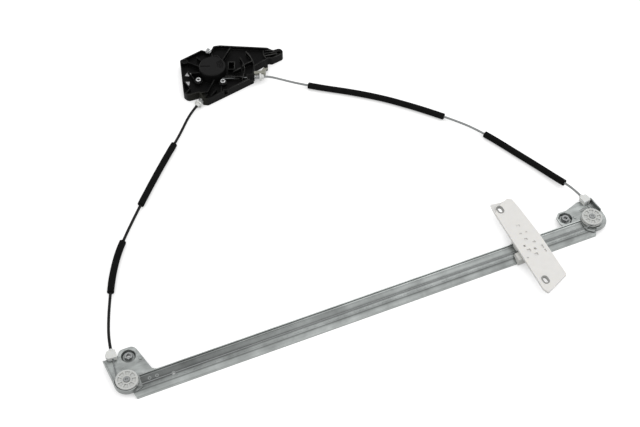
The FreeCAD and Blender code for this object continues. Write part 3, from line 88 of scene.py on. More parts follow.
THREAD_MARGIN = 0.0003     # between the thread's end and the nut's face
MOUTH_PLAY = 0.0002        # between the thread's root and the hole's mouth

LIP_Y = 0.0142             # from the rail's axis to the outer face of its upturned lip
RAIL_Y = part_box("guide_rail")[1][1] - LIP_Y
RAIL_PAINTED_LIGHT = (             # painted highlights and shade across the rail: place across the rail and brightness
    (-0.0134, 1.15), (-0.0122, 0.84), (-0.0086, 0.78), (-0.0066, 0.30), (-0.0052, 0.82),
    (-0.0038, 1.26), (-0.0020, 1.20), (-0.0002, 0.74), (0.0013, 0.34), (0.0030, 0.62),
    (0.0056, 0.92), (0.0112, 0.96), (0.0130, 1.80), (LIP_Y, 1.80),
)
WEB_PAINTED_SHADE_FADE = (RAIL_Y - 0.0060, RAIL_Y - 0.0010)  # near edge of the web, where its painted shade fades out
# Painted shade darkening the web towards the left end: span along the rail, and brightness at each end.
WEB_PAINTED_SHADE_X = (-0.34, 0.08)
WEB_PAINTED_SHADE = (0.42, 0.98)
# Painted light on the brackets: span along the rail, and brightness at each end.
BRACKET_PAINTED_LIGHT_X = (-0.34, 0.30)
BRACKET_PAINTED_LIGHT = (1.08, 1.16)
DOME_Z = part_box("drum_housing")[1][2]
DOME_PAINTED_LIGHT_Z = (DOME_Z - 0.0045, DOME_Z - 0.0005)  # the drum's dome is painted greyer near its top, as painted light on its top
LOBE_X = (-0.096, -0.086)  # near left lobe of the housing, which is less black
LOBE_Y = (0.224, 0.234)
RIB_PAINTED_HIGHLIGHT_X = (-0.050, -0.018)  # painted highlights on the ribs are strongest towards the housing's tip
SLEEVE_ENDS = {            # conduit, and the sleeve's two ends in plan
    "left_upper_sleeve": ("left", (-0.1638, 0.1484), (-0.2465, 0.0543)),
    "left_lower_sleeve": ("left", (-0.2895, 0.0000), (-0.3306, -0.0779)),
    "right_upper_sleeve": ("right", (0.0725, 0.1848), (0.2433, 0.0408)),
    "right_lower_sleeve": ("right", (0.2850, -0.0158), (0.3472, -0.1511)),
}

CAMERA_TARGET = (-0.00745, -0.05752, 0.0)  # place on the floor at the middle of the view
SENSOR = 36.0              # in millimetres
FLOOR_REACH = 6.0
PAINTED_SHADOW_REACH = 0.025      # how far round the object a painted shadow dims the floor's glow
# Floor's glow right beside the object, where the painted shadow is darkest.
PAINTED_SHADOW_GLOW = 0.26
LAMPS = (                  # place, width and depth, power
    ("key_lamp", (0.45, -0.3, 2.1), (3.5, 2.6), 21.0),
    ("left_lamp", (-2.0, -0.5, 1.3), (1.0, 1.0), 9.0),
    ("right_lamp", (2.0, -0.7, 1.2), (1.0, 1.0), 8.0),
)

UP = Vector((0.0, 0.0, 1.0))
WHITE = (1.0, 1.0, 1.0)
BACKDROP = (0.8, 0.8, 0.8)


def colour(name, about, default):
    """A colour that a user may change."""
    return FloatVectorProperty(name=name, description=about, subtype="COLOR", size=3,
                               min=0.0, max=1.0, default=default)


def distance(name, about, default):
    """A length that a user may change, in metres."""
    return FloatProperty(name=name, description=about, default=default, min=0.0, precision=5,
                         unit="LENGTH")


class RegulatorFinishes(PropertyGroup):
    """Colours of the regulator's materials."""

    zinc: colour("Zinc plate", "Rail and brackets", (0.375, 0.395, 0.388))
    bright_zinc: colour("Bright zinc", "Bushes, screws and springs", (0.60, 0.61, 0.61))
    dull_steel: colour("Dull steel", "Weld nuts and pulley rivets", (0.32, 0.33, 0.33))
    slot_steel: colour("Slot steel", "Bushes in the carrier's slots", (0.27, 0.27, 0.26))
    rope: colour("Wire rope", "Running wire", (0.26, 0.27, 0.27))
    acetal: colour("Natural plastic", "Fittings, collars and drum", (0.80, 0.81, 0.79))
    pulley: colour("Pulley plastic", "Pulleys", (0.65, 0.66, 0.64))
    carrier: colour("Carrier plastic", "Carrier plate", (0.90, 0.885, 0.855))
    shoe: colour("Shoe plastic", "Guide shoe under the carrier", (0.76, 0.76, 0.73))
    housing: colour("Housing plastic", "Drum housing and its cover", (0.0028, 0.0028, 0.0028))
    # Colour of the painted highlights along the housing's rib edges.
    rib_highlight: colour("Rib edges", "Rubbed edges of the housing's ribs", (0.15, 0.15, 0.145))
    clip: colour("Clip plastic", "Side clip", (0.33, 0.33, 0.28))
    rubber: colour("Rubber", "Grommet", (0.012, 0.012, 0.012))
    foam: colour("Foam", "Sleeves on the conduits", (0.006, 0.006, 0.006))
    left_jacket: colour("Left jacket", "Left conduit", (0.006, 0.006, 0.006))
    right_jacket: colour("Right jacket", "Right conduit", (0.28, 0.29, 0.29))


class RegulatorSizes(PropertyGroup):
    """Sizes of the pieces that the scene makes."""

    left_conduit: distance("Left conduit", "Diameter of the left conduit", 0.0042)
    right_conduit: distance("Right conduit", "Diameter of the right conduit", 0.0034)
    sleeve: distance("Foam sleeve", "Diameter of a foam sleeve", 0.0100)
    rope: distance("Wire rope", "Diameter of the running wire", 0.0015)
    rope_lay: distance("Rope lay", "Length in which a strand turns once round the wire", 0.0090)
    strands: IntProperty(name="Strands", description="Strands seen round the wire", default=6, min=3)
    spring_wire: distance("Spring wire", "Diameter of the tension springs' wire", 0.0010)
    spring_coil: distance("Spring coil", "Diameter of the coil's middle line", 0.0068)
    spring_turns: FloatProperty(name="Spring turns", description="Turns in a tension spring",
                                default=7.0, min=1.0)
    nut_flats: distance("Nut", "Width of the weld nuts across flats", 0.0100)
    nut_height: distance("Nut height", "Height of the weld nuts", 0.0050)
    nut_bore: distance("Nut bore", "Diameter inside the weld nuts' thread", 0.0050)
    thread_pitch: distance("Thread pitch", "Pitch of the weld nuts' thread", 0.0010)


class RegulatorStage(PropertyGroup):
    """Camera, floor and light."""

    heading: FloatProperty(name="Heading", description="Camera's heading, from +Y towards +X",
                           subtype="ANGLE", default=math.radians(22.56))
    dip: FloatProperty(name="Dip", description="Camera's angle below the horizon",
                       subtype="ANGLE", default=math.radians(52.29))
    reach: distance("Reach", "Camera to the point that it looks at", 1.68716)
    lens: FloatProperty(name="Lens", description="Focal length on a 36 mm sensor, in millimetres",
                        default=64.69)
    floor: colour("Floor", "Colour of the floor", (0.54, 0.54, 0.54))
    glow: FloatProperty(name="Floor glow", description="Light of the floor as the camera sees it",
                        default=0.74, min=0.0)
    sky: FloatProperty(name="Surroundings", description="Light from all round", default=0.42, min=0.0)


# Materials


def finish(name, base, roughness, metallic=0.0, specular=0.5):
    """A new material with one main shader, and its node tree."""
    material = bpy.data.materials.new(name)
    material.use_nodes = True
    shader = material.node_tree.nodes["Principled BSDF"]
    shader.inputs["Base Color"].default_value = (*base, 1.0)
    shader.inputs["Roughness"].default_value = roughness
    shader.inputs["Metallic"].default_value = metallic
    shader.inputs["Specular IOR Level"].default_value = specular
    material.diffuse_color = (*base, 1.0)
    return material


def node(material, kind, links=None, **values):
    """A new node, with other nodes' outputs linked to its inputs and its own values set."""
    made = material.node_tree.nodes.new(kind)
    for key, value in values.items():
        setattr(made, key, value)
    for socket, source in (links or {}).items():
        if isinstance(source, bpy.types.NodeSocket):
            material.node_tree.links.new(source, made.inputs[socket])
        else:
            made.inputs[socket].default_value = source
    return made


def object_place(material, stretch=(1.0, 1.0, 1.0)):
    """The surface's place in metres, stretched along each axis."""
    place = node(material, "ShaderNodeTexCoord").outputs["Object"]
    return node(material, "ShaderNodeMapping", {"Vector": place, "Scale": stretch}).outputs["Vector"]


def place_along(material, axis):
    """The surface's place along one axis, in metres."""
    place = node(material, "ShaderNodeTexCoord").outputs["Object"]
    return node(material, "ShaderNodeSeparateXYZ", {"Vector": place}).outputs[axis]


def grain(material, scale, detail=3.0, stretch=(1.0, 1.0, 1.0)):
    """Noise between 0 and 1, fixed to the object."""
    links = {"Vector": object_place(material, stretch), "Scale": scale, "Detail": detail,
             "Roughness": 0.55}
    return node(material, "ShaderNodeTexNoise", links).outputs["Fac"]


def spread(material, value, low, high, start=0.3, end=0.7):
    """A value mapped from start and end to low and high, and held there."""
    links = {"Value": value, "From Min": start, "From Max": end, "To Min": low, "To Max": high}
    return node(material, "ShaderNodeMapRange", links).outputs["Result"]


def mixed(material, share, first, second, blend="MIX"):
    """A colour output between two others, by a value."""
    made = node(material, "ShaderNodeMix", data_type="RGBA", blend_type=blend)
    for socket, source in (("Factor", share), (6, first), (7, second)):
        if isinstance(source, bpy.types.NodeSocket):
            material.node_tree.links.new(source, made.inputs[socket])
        elif isinstance(source, tuple):
            made.inputs[socket].default_value = (*source, 1.0)
        else:
            made.inputs[socket].default_value = source
    return made.outputs[2]


def times(material, first, second):
    """Product of two values."""
    return node(material, "ShaderNodeMath", {0: first, 1: second}, operation="MULTIPLY").outputs[0]


def openness(material, reach, alone=True):
    """Near 1 on open surfaces and low in folds and holes, and beside other pieces unless alone."""
    made = node(material, "ShaderNodeAmbientOcclusion", {"Distance": reach}, samples=8,
                only_local=alone)
    return made.outputs["AO"]


def sharpness(material, radius):
    """Near 1 along sharp edges, from how far a rounded edge would turn the surface."""
    rounded = node(material, "ShaderNodeBevel", {"Radius": radius}, samples=6).outputs["Normal"]
    flat = node(material, "ShaderNodeNewGeometry").outputs["Normal"]
    match = node(material, "ShaderNodeVectorMath", {0: rounded, 1: flat}, operation="DOT_PRODUCT")
    return spread(material, match.outputs["Value"], 1.0, 0.0, start=0.80, end=0.998)


def shaded(base, factor):
    """A colour made lighter or darker."""
    return tuple(min(1.0, channel * factor) for channel in base)


def drive(material, socket, source):
    """Link a value to the main shader."""
    material.node_tree.links.new(source, material.node_tree.nodes["Principled BSDF"].inputs[socket])


def relief(material, heights, edge=0.0):
    """Bump from (height, depth in metres) pairs, over edges that are rounded a little."""
    normal = None
    if edge > 0:
        normal = node(material, "ShaderNodeBevel", {"Radius": edge}, samples=4).outputs["Normal"]
    for height, depth in heights:
        links = {"Height": height, "Distance": depth, "Strength": 1.0}
        if normal is not None:
            links["Normal"] = normal
        normal = node(material, "ShaderNodeBump", links).outputs["Normal"]
    drive(material, "Normal", normal)


def rail_painted_light(material):
    """Painted highlights and shade across the rail's bands, and painted shade darkening its web towards
    the left end.
    """
    low, high = RAIL_PAINTED_LIGHT[0][0], RAIL_PAINTED_LIGHT[-1][0]
    y_place = place_along(material, "Y")
    across = spread(material, y_place, 0.0, 1.0, start=RAIL_Y + low, end=RAIL_Y + high)
    # Painted light and shade: one brightness for each band across the rail.
    ramp = node(material, "ShaderNodeValToRGB", {"Fac": across})
    stops = ramp.color_ramp.elements
    while len(stops) < len(RAIL_PAINTED_LIGHT):
        stops.new(0.5)
    for stop, (y, level) in zip(stops, RAIL_PAINTED_LIGHT):
        stop.position = (y - low) / (high - low)
        stop.color = (level, level, level, 1.0)
    # Painted shade: the web darker towards the left end.
    dull = spread(material, place_along(material, "X"), *WEB_PAINTED_SHADE, *WEB_PAINTED_SHADE_X)
    web = spread(material, y_place, 0.0, 1.0, *WEB_PAINTED_SHADE_FADE)
    along = mixed(material, web, WHITE, dull)
    return mixed(material, 1.0, ramp.outputs["Color"], along, "MULTIPLY")


def bracket_painted_light(material):
    """Painted light on the brackets, the left one a little darker."""
    return spread(material, place_along(material, "X"), *BRACKET_PAINTED_LIGHT, *BRACKET_PAINTED_LIGHT_X)


def zinc_plate(name, base, drawn, rolled=False):
    """Zinc plate: cloudy grey, with fine marks that are stretched as drawn says, and painted light and
    shade on the rail's bands and the brackets, in folds, on steep faces and along edges.
    """
    material = finish(name, base, roughness=0.34, metallic=0.9)
    clouds = grain(material, scale=38.0, detail=4.0)
    marks = grain(material, scale=160.0, detail=4.0, stretch=drawn)
    cloudy = spread(material, times(material, clouds, marks), 0.0, 1.0, start=0.14, end=0.36)
    plate = mixed(material, cloudy, shaded(base, 0.66), shaded(base, 1.16))
    # Painted light and shade: the rail's bands, or the brackets' brightness.
    painted_light = rail_painted_light(material) if rolled else bracket_painted_light(material)
    plate = mixed(material, 1.0, plate, painted_light, "MULTIPLY")
    # Painted shade in folds, corners and holes, and beside other pieces.
    near = openness(material, reach=0.006, alone=False)
    folds = spread(material, near, 0.0, 1.0, start=0.28, end=0.80)
    plate = mixed(material, folds, shaded(base, 0.30 if rolled else 0.36), plate)
    # Painted shade on steep faces, such as the sheet's cut edges, darker the less they face up.
    normal = node(material, "ShaderNodeNewGeometry").outputs["Normal"]
    facing = node(material, "ShaderNodeSeparateXYZ", {"Vector": normal}).outputs["Z"]
    painted_side_shade = spread(material, facing, 1.0, 0.0, start=0.15, end=0.45)
    plate = mixed(material, painted_side_shade, plate, shaded(base, 0.85 if rolled else 0.62))
    # Painted edge light: a painted highlight along the rail's sharp edges, and a painted dark outline
    # along the brackets' edges.
    painted_edge_lighting = times(material, sharpness(material, radius=0.0010), times(material, folds, facing))
    edge = shaded(base, 1.5 if rolled else 0.55)
    drive(material, "Base Color", mixed(material, painted_edge_lighting, plate, edge))
    drive(material, "Roughness", spread(material, marks, 0.24, 0.44))
    fine = grain(material, scale=420.0, detail=2.0, stretch=drawn)
    relief(material, [(marks, 0.00004), (fine, 0.000012)], edge=0.0004)
    return material


def bright_metal(name, base, roughness=0.24):
    """Bright zinc on small turned or pressed pieces."""
    material = finish(name, base, roughness, metallic=1.0)
    clouds = grain(material, scale=260.0)
    metal = mixed(material, clouds, shaded(base, 0.80), shaded(base, 1.10))
    # Painted shade in folds, corners and holes.
    folds = spread(material, openness(material, reach=0.002), 0.0, 1.0, start=0.3, end=0.8)
    drive(material, "Base Color", mixed(material, folds, shaded(base, 0.25), metal))
    drive(material, "Roughness", spread(material, clouds, roughness * 0.8, roughness * 1.5))
    relief(material, [(grain(material, scale=1600.0, detail=2.0), 0.00001)], edge=0.0002)
    return material


def shared_metal(name, base, roughness=0.24):
    """The bright metal of this name, made when it is first asked for."""
    return bpy.data.materials.get(name) or bright_metal(name, base, roughness)


def natural_plastic(name, base, roughness=0.38):
    """Undyed moulded plastic that lets a little light in."""
    material = finish(name, base, roughness)
    shader = material.node_tree.nodes["Principled BSDF"]
    shader.inputs["Subsurface Weight"].default_value = 0.22
    shader.inputs["Subsurface Radius"].default_value = (1.0, 0.95, 0.85)
    shader.inputs["Subsurface Scale"].default_value = 0.003
    clouds = grain(material, scale=90.0)
    plastic = mixed(material, clouds, shaded(base, 0.95), shaded(base, 1.03))
    # Painted shade in folds, corners and holes.
    folds = spread(material, openness(material, reach=0.0025), 0.0, 1.0, start=0.25, end=0.8)
    drive(material, "Base Color", mixed(material, folds, shaded(base, 0.50), plastic))
    patches = grain(material, scale=300.0)
    drive(material, "Roughness", spread(material, patches, roughness - 0.07, roughness + 0.1))
    relief(material, [(grain(material, scale=900.0), 0.00002)], edge=0.00035)
    return material


def black_moulding(name, base, edge):
    """Glass-filled black plastic with an eroded mould texture and flow marks, painted lighter on the
    dome's top and with painted highlights on the ribs' edges.
    """
    material = finish(name, base, roughness=0.42, specular=0.07)
    flow = grain(material, scale=24.0, detail=4.0, stretch=(1.0, 2.2, 1.0))
    body = mixed(material, spread(material, flow, 0.0, 1.0), shaded(base, 0.6), shaded(base, 1.6))
    # Painted light: the dome greyer near its top.
    dome = spread(material, place_along(material, "Z"), 0.0, 1.0, *DOME_PAINTED_LIGHT_Z)
    body = mixed(material, dome, body, shaded(base, 5.0))
    lobe = times(material, spread(material, place_along(material, "X"), 1.0, 0.0, *LOBE_X),
                 spread(material, place_along(material, "Y"), 1.0, 0.0, *LOBE_Y))
    body = mixed(material, lobe, body, (base[0] * 8.0, base[1] * 8.0, base[2] * 6.0))
    # Painted highlights along the ribs' open edges: patchy, strongest towards the tip and faint on the
    # dome.
    open_side = spread(material, openness(material, reach=0.003), 0.0, 1.0, start=0.45, end=0.75)
    patches = spread(material, grain(material, scale=60.0, detail=2.0), 0.3, 1.0, start=0.4, end=0.6)
    painted_rib_highlight = times(material, patches, open_side)
    painted_rib_highlight = times(material, painted_rib_highlight, spread(material, place_along(material, "X"), 0.30, 1.0, *RIB_PAINTED_HIGHLIGHT_X))
    painted_rib_highlight = times(material, painted_rib_highlight, spread(material, dome, 1.0, 0.1, start=0.0, end=1.0))
    painted_edge_lighting = times(material, sharpness(material, radius=0.0014), painted_rib_highlight)
    drive(material, "Base Color", mixed(material, painted_edge_lighting, body, tuple(edge)))
    drive(material, "Roughness", spread(material, flow, 0.34, 0.52))
    pits = grain(material, scale=1500.0, detail=2.0)
    waves = grain(material, scale=260.0)
    relief(material, [(pits, 0.00003), (waves, 0.00004)], edge=0.0004)
    return material


def foam_skin(name, base):
    """Closed-cell foam with a dull open skin."""
    material = finish(name, base, roughness=0.93, specular=0.08)
    links = {"Vector": object_place(material), "Scale": 1500.0}
    cells = node(material, "ShaderNodeTexVoronoi", links).outputs["Distance"]
    clouds = grain(material, scale=120.0, detail=4.0)
    drive(material, "Base Color", mixed(material, clouds, shaded(base, 0.6), shaded(base, 1.9)))
    relief(material, [(cells, 0.0003), (clouds, 0.0003)])
    return material


def jacket(name, base, roughness, metallic=0.0):
    """Smooth extruded jacket of a conduit, with faint ripples."""
    material = finish(name, base, roughness, metallic, specular=0.15)
    ripple = grain(material, scale=400.0, detail=2.0)
    clouds = grain(material, scale=60.0)
    drive(material, "Base Color", mixed(material, clouds, shaded(base, 0.85), shaded(base, 1.2)))
    drive(material, "Roughness", spread(material, ripple, roughness * 0.85, roughness * 1.3))
    relief(material, [(ripple, 0.00003)])
    return material


def dress(material, *nodes):
    """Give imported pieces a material."""
    for name in nodes:
        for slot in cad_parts[name].material_slots:
            slot.material = material


# Meshes and curves


def add_object(name, data):
    """A new object in the scene."""
    made = bpy.data.objects.new(name, data)
    bpy.context.scene.collection.objects.link(made)
    return made


def add_mesh(name, points, faces, material, smooth=True):
    """A new mesh object from points and faces."""
    mesh = bpy.data.meshes.new(name)
    mesh.from_pydata([tuple(p) for p in points], [], faces)
    mesh.materials.append(material)
    mesh.polygons.foreach_set("use_smooth", [smooth] * len(mesh.polygons))
    mesh.update()
    return add_object(name, mesh)


def settle(made, body, slot, *nodes):
    """Put a piece on its body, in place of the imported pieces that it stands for."""
    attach(made, body)
    if nodes:
        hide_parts(*nodes)


def round_curve(name, kind, points, diameter, material):
    """A round bar along a curve. Its points' radius gives its thickness, so its box fits it."""
    curve = bpy.data.curves.new(name, "CURVE")
    curve.dimensions = "3D"
    curve.resolution_u = 16
    curve.bevel_depth = 1.0
    curve.bevel_resolution = 5
    curve.use_fill_caps = True
    spline = curve.splines.new(kind)
    spline.points.add(len(points) - 1)
    for target, point in zip(spline.points, points):
        target.co = (*point, 1.0)
        target.radius = diameter / 2
    if kind == "NURBS":
        spline.order_u = 3
        spline.use_endpoint_u = True
    curve.materials.append(material)
    return add_object(name, curve)


def read_line(curve_object):
    """Points along a curve's own line."""
    data = curve_object.data
    depth, caps = data.bevel_depth, data.use_fill_caps
    data.bevel_depth = 0.0
    data.use_fill_caps = False
    mesh = bpy.data.meshes.new_from_object(curve_object)
    line = [vertex.co.copy() for vertex in mesh.vertices]
    bpy.data.meshes.remove(mesh)
    data.bevel_depth, data.use_fill_caps = depth, caps
    return line


def line_length(line):
    """Length of a line of points."""
    return sum((b - a).length for a, b in zip(line, line[1:]))


def even_line(line, step):
    """The line again with its points about a given step apart."""
    total = line_length(line)
    count = max(2, round(total / step))
    wanted = [total * i / count for i in range(count + 1)]
    result = []
    gone = 0.0
    index = 0
    for mark in wanted:
        while index < len(line) - 2 and gone + (line[index + 1] - line[index]).length < mark:
            gone += (line[index + 1] - line[index]).length
            index += 1
        a, b = line[index], line[index + 1]
        share = (mark - gone) / max(1e-9, (b - a).length)
        result.append(a.lerp(b, min(1.0, max(0.0, share))))
    return result


def cut_line(line, start, end):
    """The part of a line between the points nearest to two places in plan."""
    def nearest(place):
        return min(range(len(line)), key=lambda i: (line[i].xy - Vector(place)).length)
    return line[nearest(start):nearest(end) + 1]


def directions(line):
    """The line's direction at each of its points."""
    result = []
    for i in range(len(line)):
        a = line[max(0, i - 1)]
        b = line[min(len(line) - 1, i + 1)]
        result.append((b - a).normalized())
    return result


def sides_of(way):
    """Directions across a line and over it."""
    across = way.cross(UP).normalized()
    return across, across.cross(way).normalized()


def tube_rings(line, radius_at, sides):
    """Points of a tube round a line. radius_at gives the radius at a share and an angle."""
    points = []
    for i, (centre, way) in enumerate(zip(line, directions(line))):
        across, over = sides_of(way)
        for j in range(sides):
            angle = 2 * math.pi * j / sides
            radius = radius_at(i / (len(line) - 1), angle)
            points.append(centre + (across * math.cos(angle) + over * math.sin(angle)) * radius)
    return points


def ring_faces(count, sides, offset=0, flip=False):
    """Faces between rings of points."""
    faces = []
    for i in range(count - 1):
        for j in range(sides):
            a = offset + i * sides + j
            b = offset + i * sides + (j + 1) % sides
            face = (a, b, b + sides, a + sides)
            faces.append(face[::-1] if flip else face)
    return faces


def rope_mesh(name, line, diameter, lay, strands, material):
    """Twisted wire rope along a line of even steps."""
    sides = strands * 3
    length = line_length(line)
    furrow = 0.20

    def radius_at(share, angle):
        turn = 2 * math.pi * share * length / lay
        lobe = abs(math.cos((angle - turn) * strands / 2))
        return diameter / 2 * (1.0 - furrow + furrow * lobe)

    points = tube_rings(line, radius_at, sides)
    faces = ring_faces(len(line), sides, flip=True)
    last = (len(line) - 1) * sides
    faces.append(tuple(range(sides)))
    faces.append(tuple(reversed(range(last, last + sides))))
    return add_mesh(name, points, faces, material)


def sleeve_mesh(name, line, outer, inner, material):
    """Foam tube with soft, slightly uneven ends and skin."""
    sides = 28
    end_round = 0.0011
    end_wall = 0.72
    unevenness = 0.022
    seed = Vector((line[0].x * 37.0, line[0].y * 53.0, 1.7))

    def skin(share, angle):
        place = Vector((share * 9.0, math.cos(angle) * 0.6, math.sin(angle) * 0.6)) + seed
        from_end = min(1.0, min(share, 1 - share) * line_length(line) / end_round)
        rounding = math.sqrt(max(0.0, 1 - (1 - from_end) ** 2))
        wall = (outer - inner) * (end_wall + (1.0 - end_wall) * rounding)
        return (inner + wall) * (1 + unevenness * noise.noise(place))

    rows = [line[0].lerp(line[1], share) for share in (0.0, 0.12, 0.35, 0.7)] + list(line[1:-1])
    rows += [line[-2].lerp(line[-1], share) for share in (0.3, 0.65, 0.88, 1.0)]
    shell = tube_rings(rows, skin, sides)
    core = tube_rings(rows, lambda share, angle: inner, sides)
    count = len(rows)
    core_start = count * sides
    faces = ring_faces(count, sides, flip=True)
    faces += ring_faces(count, sides, offset=core_start)
    last = (count - 1) * sides
    for j in range(sides):
        k = (j + 1) % sides
        faces.append((j, k, core_start + k, core_start + j))
        faces.append((last + k, last + j, core_start + last + j, core_start + last + k))
    return add_mesh(name, shell + core, faces, material)


def thread_rows(angles, top, sizes, bore, depth):
    """Rings of (angle, radius, height) down a threaded bore."""
    count = int(sizes.nut_height / sizes.thread_pitch) * 2
    rows = []
    for k in range(count + 1):
        z = top - THREAD_MARGIN - (sizes.nut_height - 2 * THREAD_MARGIN) * k / count
        row = []
        for angle in angles:
            phase = (z / sizes.thread_pitch + angle / (2 * math.pi)) % 1.0
            row.append((angle, bore + depth * abs(2 * phase - 1), z))
        rows.append(row)
    return rows


def hex_nut(name, centre, low, sizes, material):
    """Six-sided nut with chamfered corners and a real thread."""
    half = sizes.nut_flats / 2
    top = low + sizes.nut_height
    chamfer_r = half * CHAMFER_SHARE
    bore = sizes.nut_bore / 2
    depth = sizes.thread_pitch * THREAD_SHARE
    mouth = bore + depth + MOUTH_PLAY
    angles = [2 * math.pi * i / NUT_STEPS for i in range(NUT_STEPS)]
    base = []
    shoulder = []
    for angle in angles:
        around = (angle - NUT_TURN) % (math.pi / 3) - math.pi / 6
        radius = half / math.cos(around)
        drop = max(0.0, radius - chamfer_r) * CHAMFER_SLOPE
        base.append((angle, radius, low))
        shoulder.append((angle, radius, top - drop))
    rings = [base, shoulder, [(angle, chamfer_r, top) for angle in angles],
             [(angle, mouth, top) for angle in angles]]
    rings += thread_rows(angles, top, sizes, bore, depth)
    rings.append([(angle, mouth, low) for angle in angles])
    points = [Vector((centre.x + radius * math.cos(angle), centre.y + radius * math.sin(angle), z))
              for ring in rings for angle, radius, z in ring]
    faces = []
    for i in range(len(rings)):
        a, b = i * NUT_STEPS, ((i + 1) % len(rings)) * NUT_STEPS
        for j in range(NUT_STEPS):
            k = (j + 1) % NUT_STEPS
            faces.append((a + j, a + k, b + k, b + j))
    return add_mesh(name, points, faces, material, smooth=False)


def middle(name):
    """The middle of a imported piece's box."""
    low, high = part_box(name)
    return (Vector(low) + Vector(high)) / 2


# Operators


class REGULATOR_OT_conduits(Operator):
    """Both conduits with their foam sleeves"""

    bl_idname = "regulator.conduits"
    bl_label = "Conduits and Sleeves"

    def execute(self, context):
        colours = context.scene.regulator_finishes
        sizes = context.scene.regulator_sizes
        foam = foam_skin("foam", colours.foam)
        black = jacket("black_jacket", colours.left_jacket, roughness=0.36)
        grey = jacket("grey_jacket", colours.right_jacket, roughness=0.34, metallic=0.25)
        for side, route, diameter, material, slot in (
                ("left", LEFT_ROUTE, sizes.left_conduit, black, "black_conduit"),
                ("right", RIGHT_ROUTE, sizes.right_conduit, grey, "grey_conduit")):
            conduit = round_curve(side + "_conduit_line", "NURBS", route, diameter, material)
            settle(conduit, "base", slot, side + "_conduit")
            line = read_line(conduit)
            sleeves = self.add_sleeves(side, even_line(line, LINE_STEP), diameter, foam, sizes)
        return {"FINISHED"}

    def add_sleeves(self, side, line, diameter, foam, sizes):
        """The sleeves of one conduit."""
        sleeves = []
        for name, (owner, start, end) in SLEEVE_ENDS.items():
            if owner != side:
                continue
            part = even_line(cut_line(line, start, end), SLEEVE_STEP)
            inner = diameter / 2 + SLEEVE_PLAY
            sleeve = sleeve_mesh(name + "_foam", part, sizes.sleeve / 2, inner, foam)
            settle(sleeve, "base", "foam", name)
            sleeves.append(sleeve)
        return sleeves


class REGULATOR_OT_running_wire(Operator):
    """Running wire round both pulleys and into the housing"""

    bl_idname = "regulator.running_wire"
    bl_label = "Running Wire"

    def execute(self, context):
        sizes = context.scene.regulator_sizes
        colours = context.scene.regulator_finishes
        rope = bright_metal("rope_steel", colours.rope, roughness=0.34)
        for side, sign in (("left", -1), ("right", 1)):
            line = even_line(self.wire_path(side, sign, sizes.rope), ROPE_STEP)
            made = rope_mesh(side + "_rope", line, sizes.rope, sizes.rope_lay, sizes.strands, rope)
            settle(made, "base", "wire_steel", side + "_wire")
        dress(rope, "left_drum_lead", "right_drum_lead", "drum_wire")
        return {"FINISHED"}

    def wire_path(self, side, sign, diameter):
        """Points from a fitting, round its pulley and along the rail to the carrier."""
        pulley = middle(side + "_pulley")
        wire_low, wire_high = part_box(side + "_wire")
        z = (wire_low[2] + wire_high[2]) / 2
        pitch = pulley.y - wire_low[1] - diameter / 2
        lean = WIRE_LEAN[side]
        axis = Vector((pulley.x, pulley.y, z))
        tangent = axis + Vector((sign * math.cos(lean), math.sin(lean), 0)) * pitch
        way = Vector((sign * math.sin(lean), -math.cos(lean), 0))
        start = tangent - way * ((wire_high[1] - tangent.y) / math.cos(lean))
        meet = wire_high[0] if side == "left" else wire_low[0]
        path = [start, tangent]
        for i in range(1, ROPE_BEND_STEPS):
            angle = lean - (lean + math.pi / 2) * i / ROPE_BEND_STEPS
            path.append(axis + Vector((sign * math.cos(angle), math.sin(angle), 0)) * pitch)
        return path + [axis + Vector((0, -pitch, 0)), Vector((meet, axis.y - pitch, z))]


class REGULATOR_OT_steel(Operator):
    """Rail, brackets, rivets, bushes and nipples"""

    bl_idname = "regulator.steel"
    bl_label = "Rail and Brackets"

    def execute(self, context):
        colours = context.scene.regulator_finishes
        rolled = zinc_plate("rolled_zinc", colours.zinc, drawn=(0.02, 1.0, 1.0), rolled=True)
        dress(rolled, "guide_rail", "bracket_rivets")
        pressed = zinc_plate("pressed_zinc", colours.zinc, drawn=(0.25, 1.0, 1.0))
        dress(pressed, "left_bracket", "right_bracket")
        bright = shared_metal("bright_zinc", colours.bright_zinc)
        dress(bright, "drive_bushes", "left_nipple", "right_nipple")
        dull = shared_metal("dull_steel", colours.dull_steel, roughness=0.36)
        dress(dull, "left_pulley_pin", "right_pulley_pin")
        slots = shared_metal("slot_steel", colours.slot_steel, roughness=0.36)
        dress(slots, "slot_bushes")
        return {"FINISHED"}


class REGULATOR_OT_fasteners(Operator):
    """Weld nuts with their threads and the screw at the housing's edge"""

    bl_idname = "regulator.fasteners"
    bl_label = "Nuts and Screw"

    def execute(self, context):
        colours = context.scene.regulator_finishes
        sizes = context.scene.regulator_sizes
        dull = shared_metal("dull_steel", colours.dull_steel, roughness=0.36)
        for side in ("left", "right"):
            packed = side + "_weld_nut"
            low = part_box(packed)[0][2]
            made = hex_nut(side + "_threaded_nut", middle(packed), low, sizes, dull)
            settle(made, "base", "dark_steel", packed)
        dress(shared_metal("bright_zinc", colours.bright_zinc), "edge_screw")
        return {"FINISHED"}


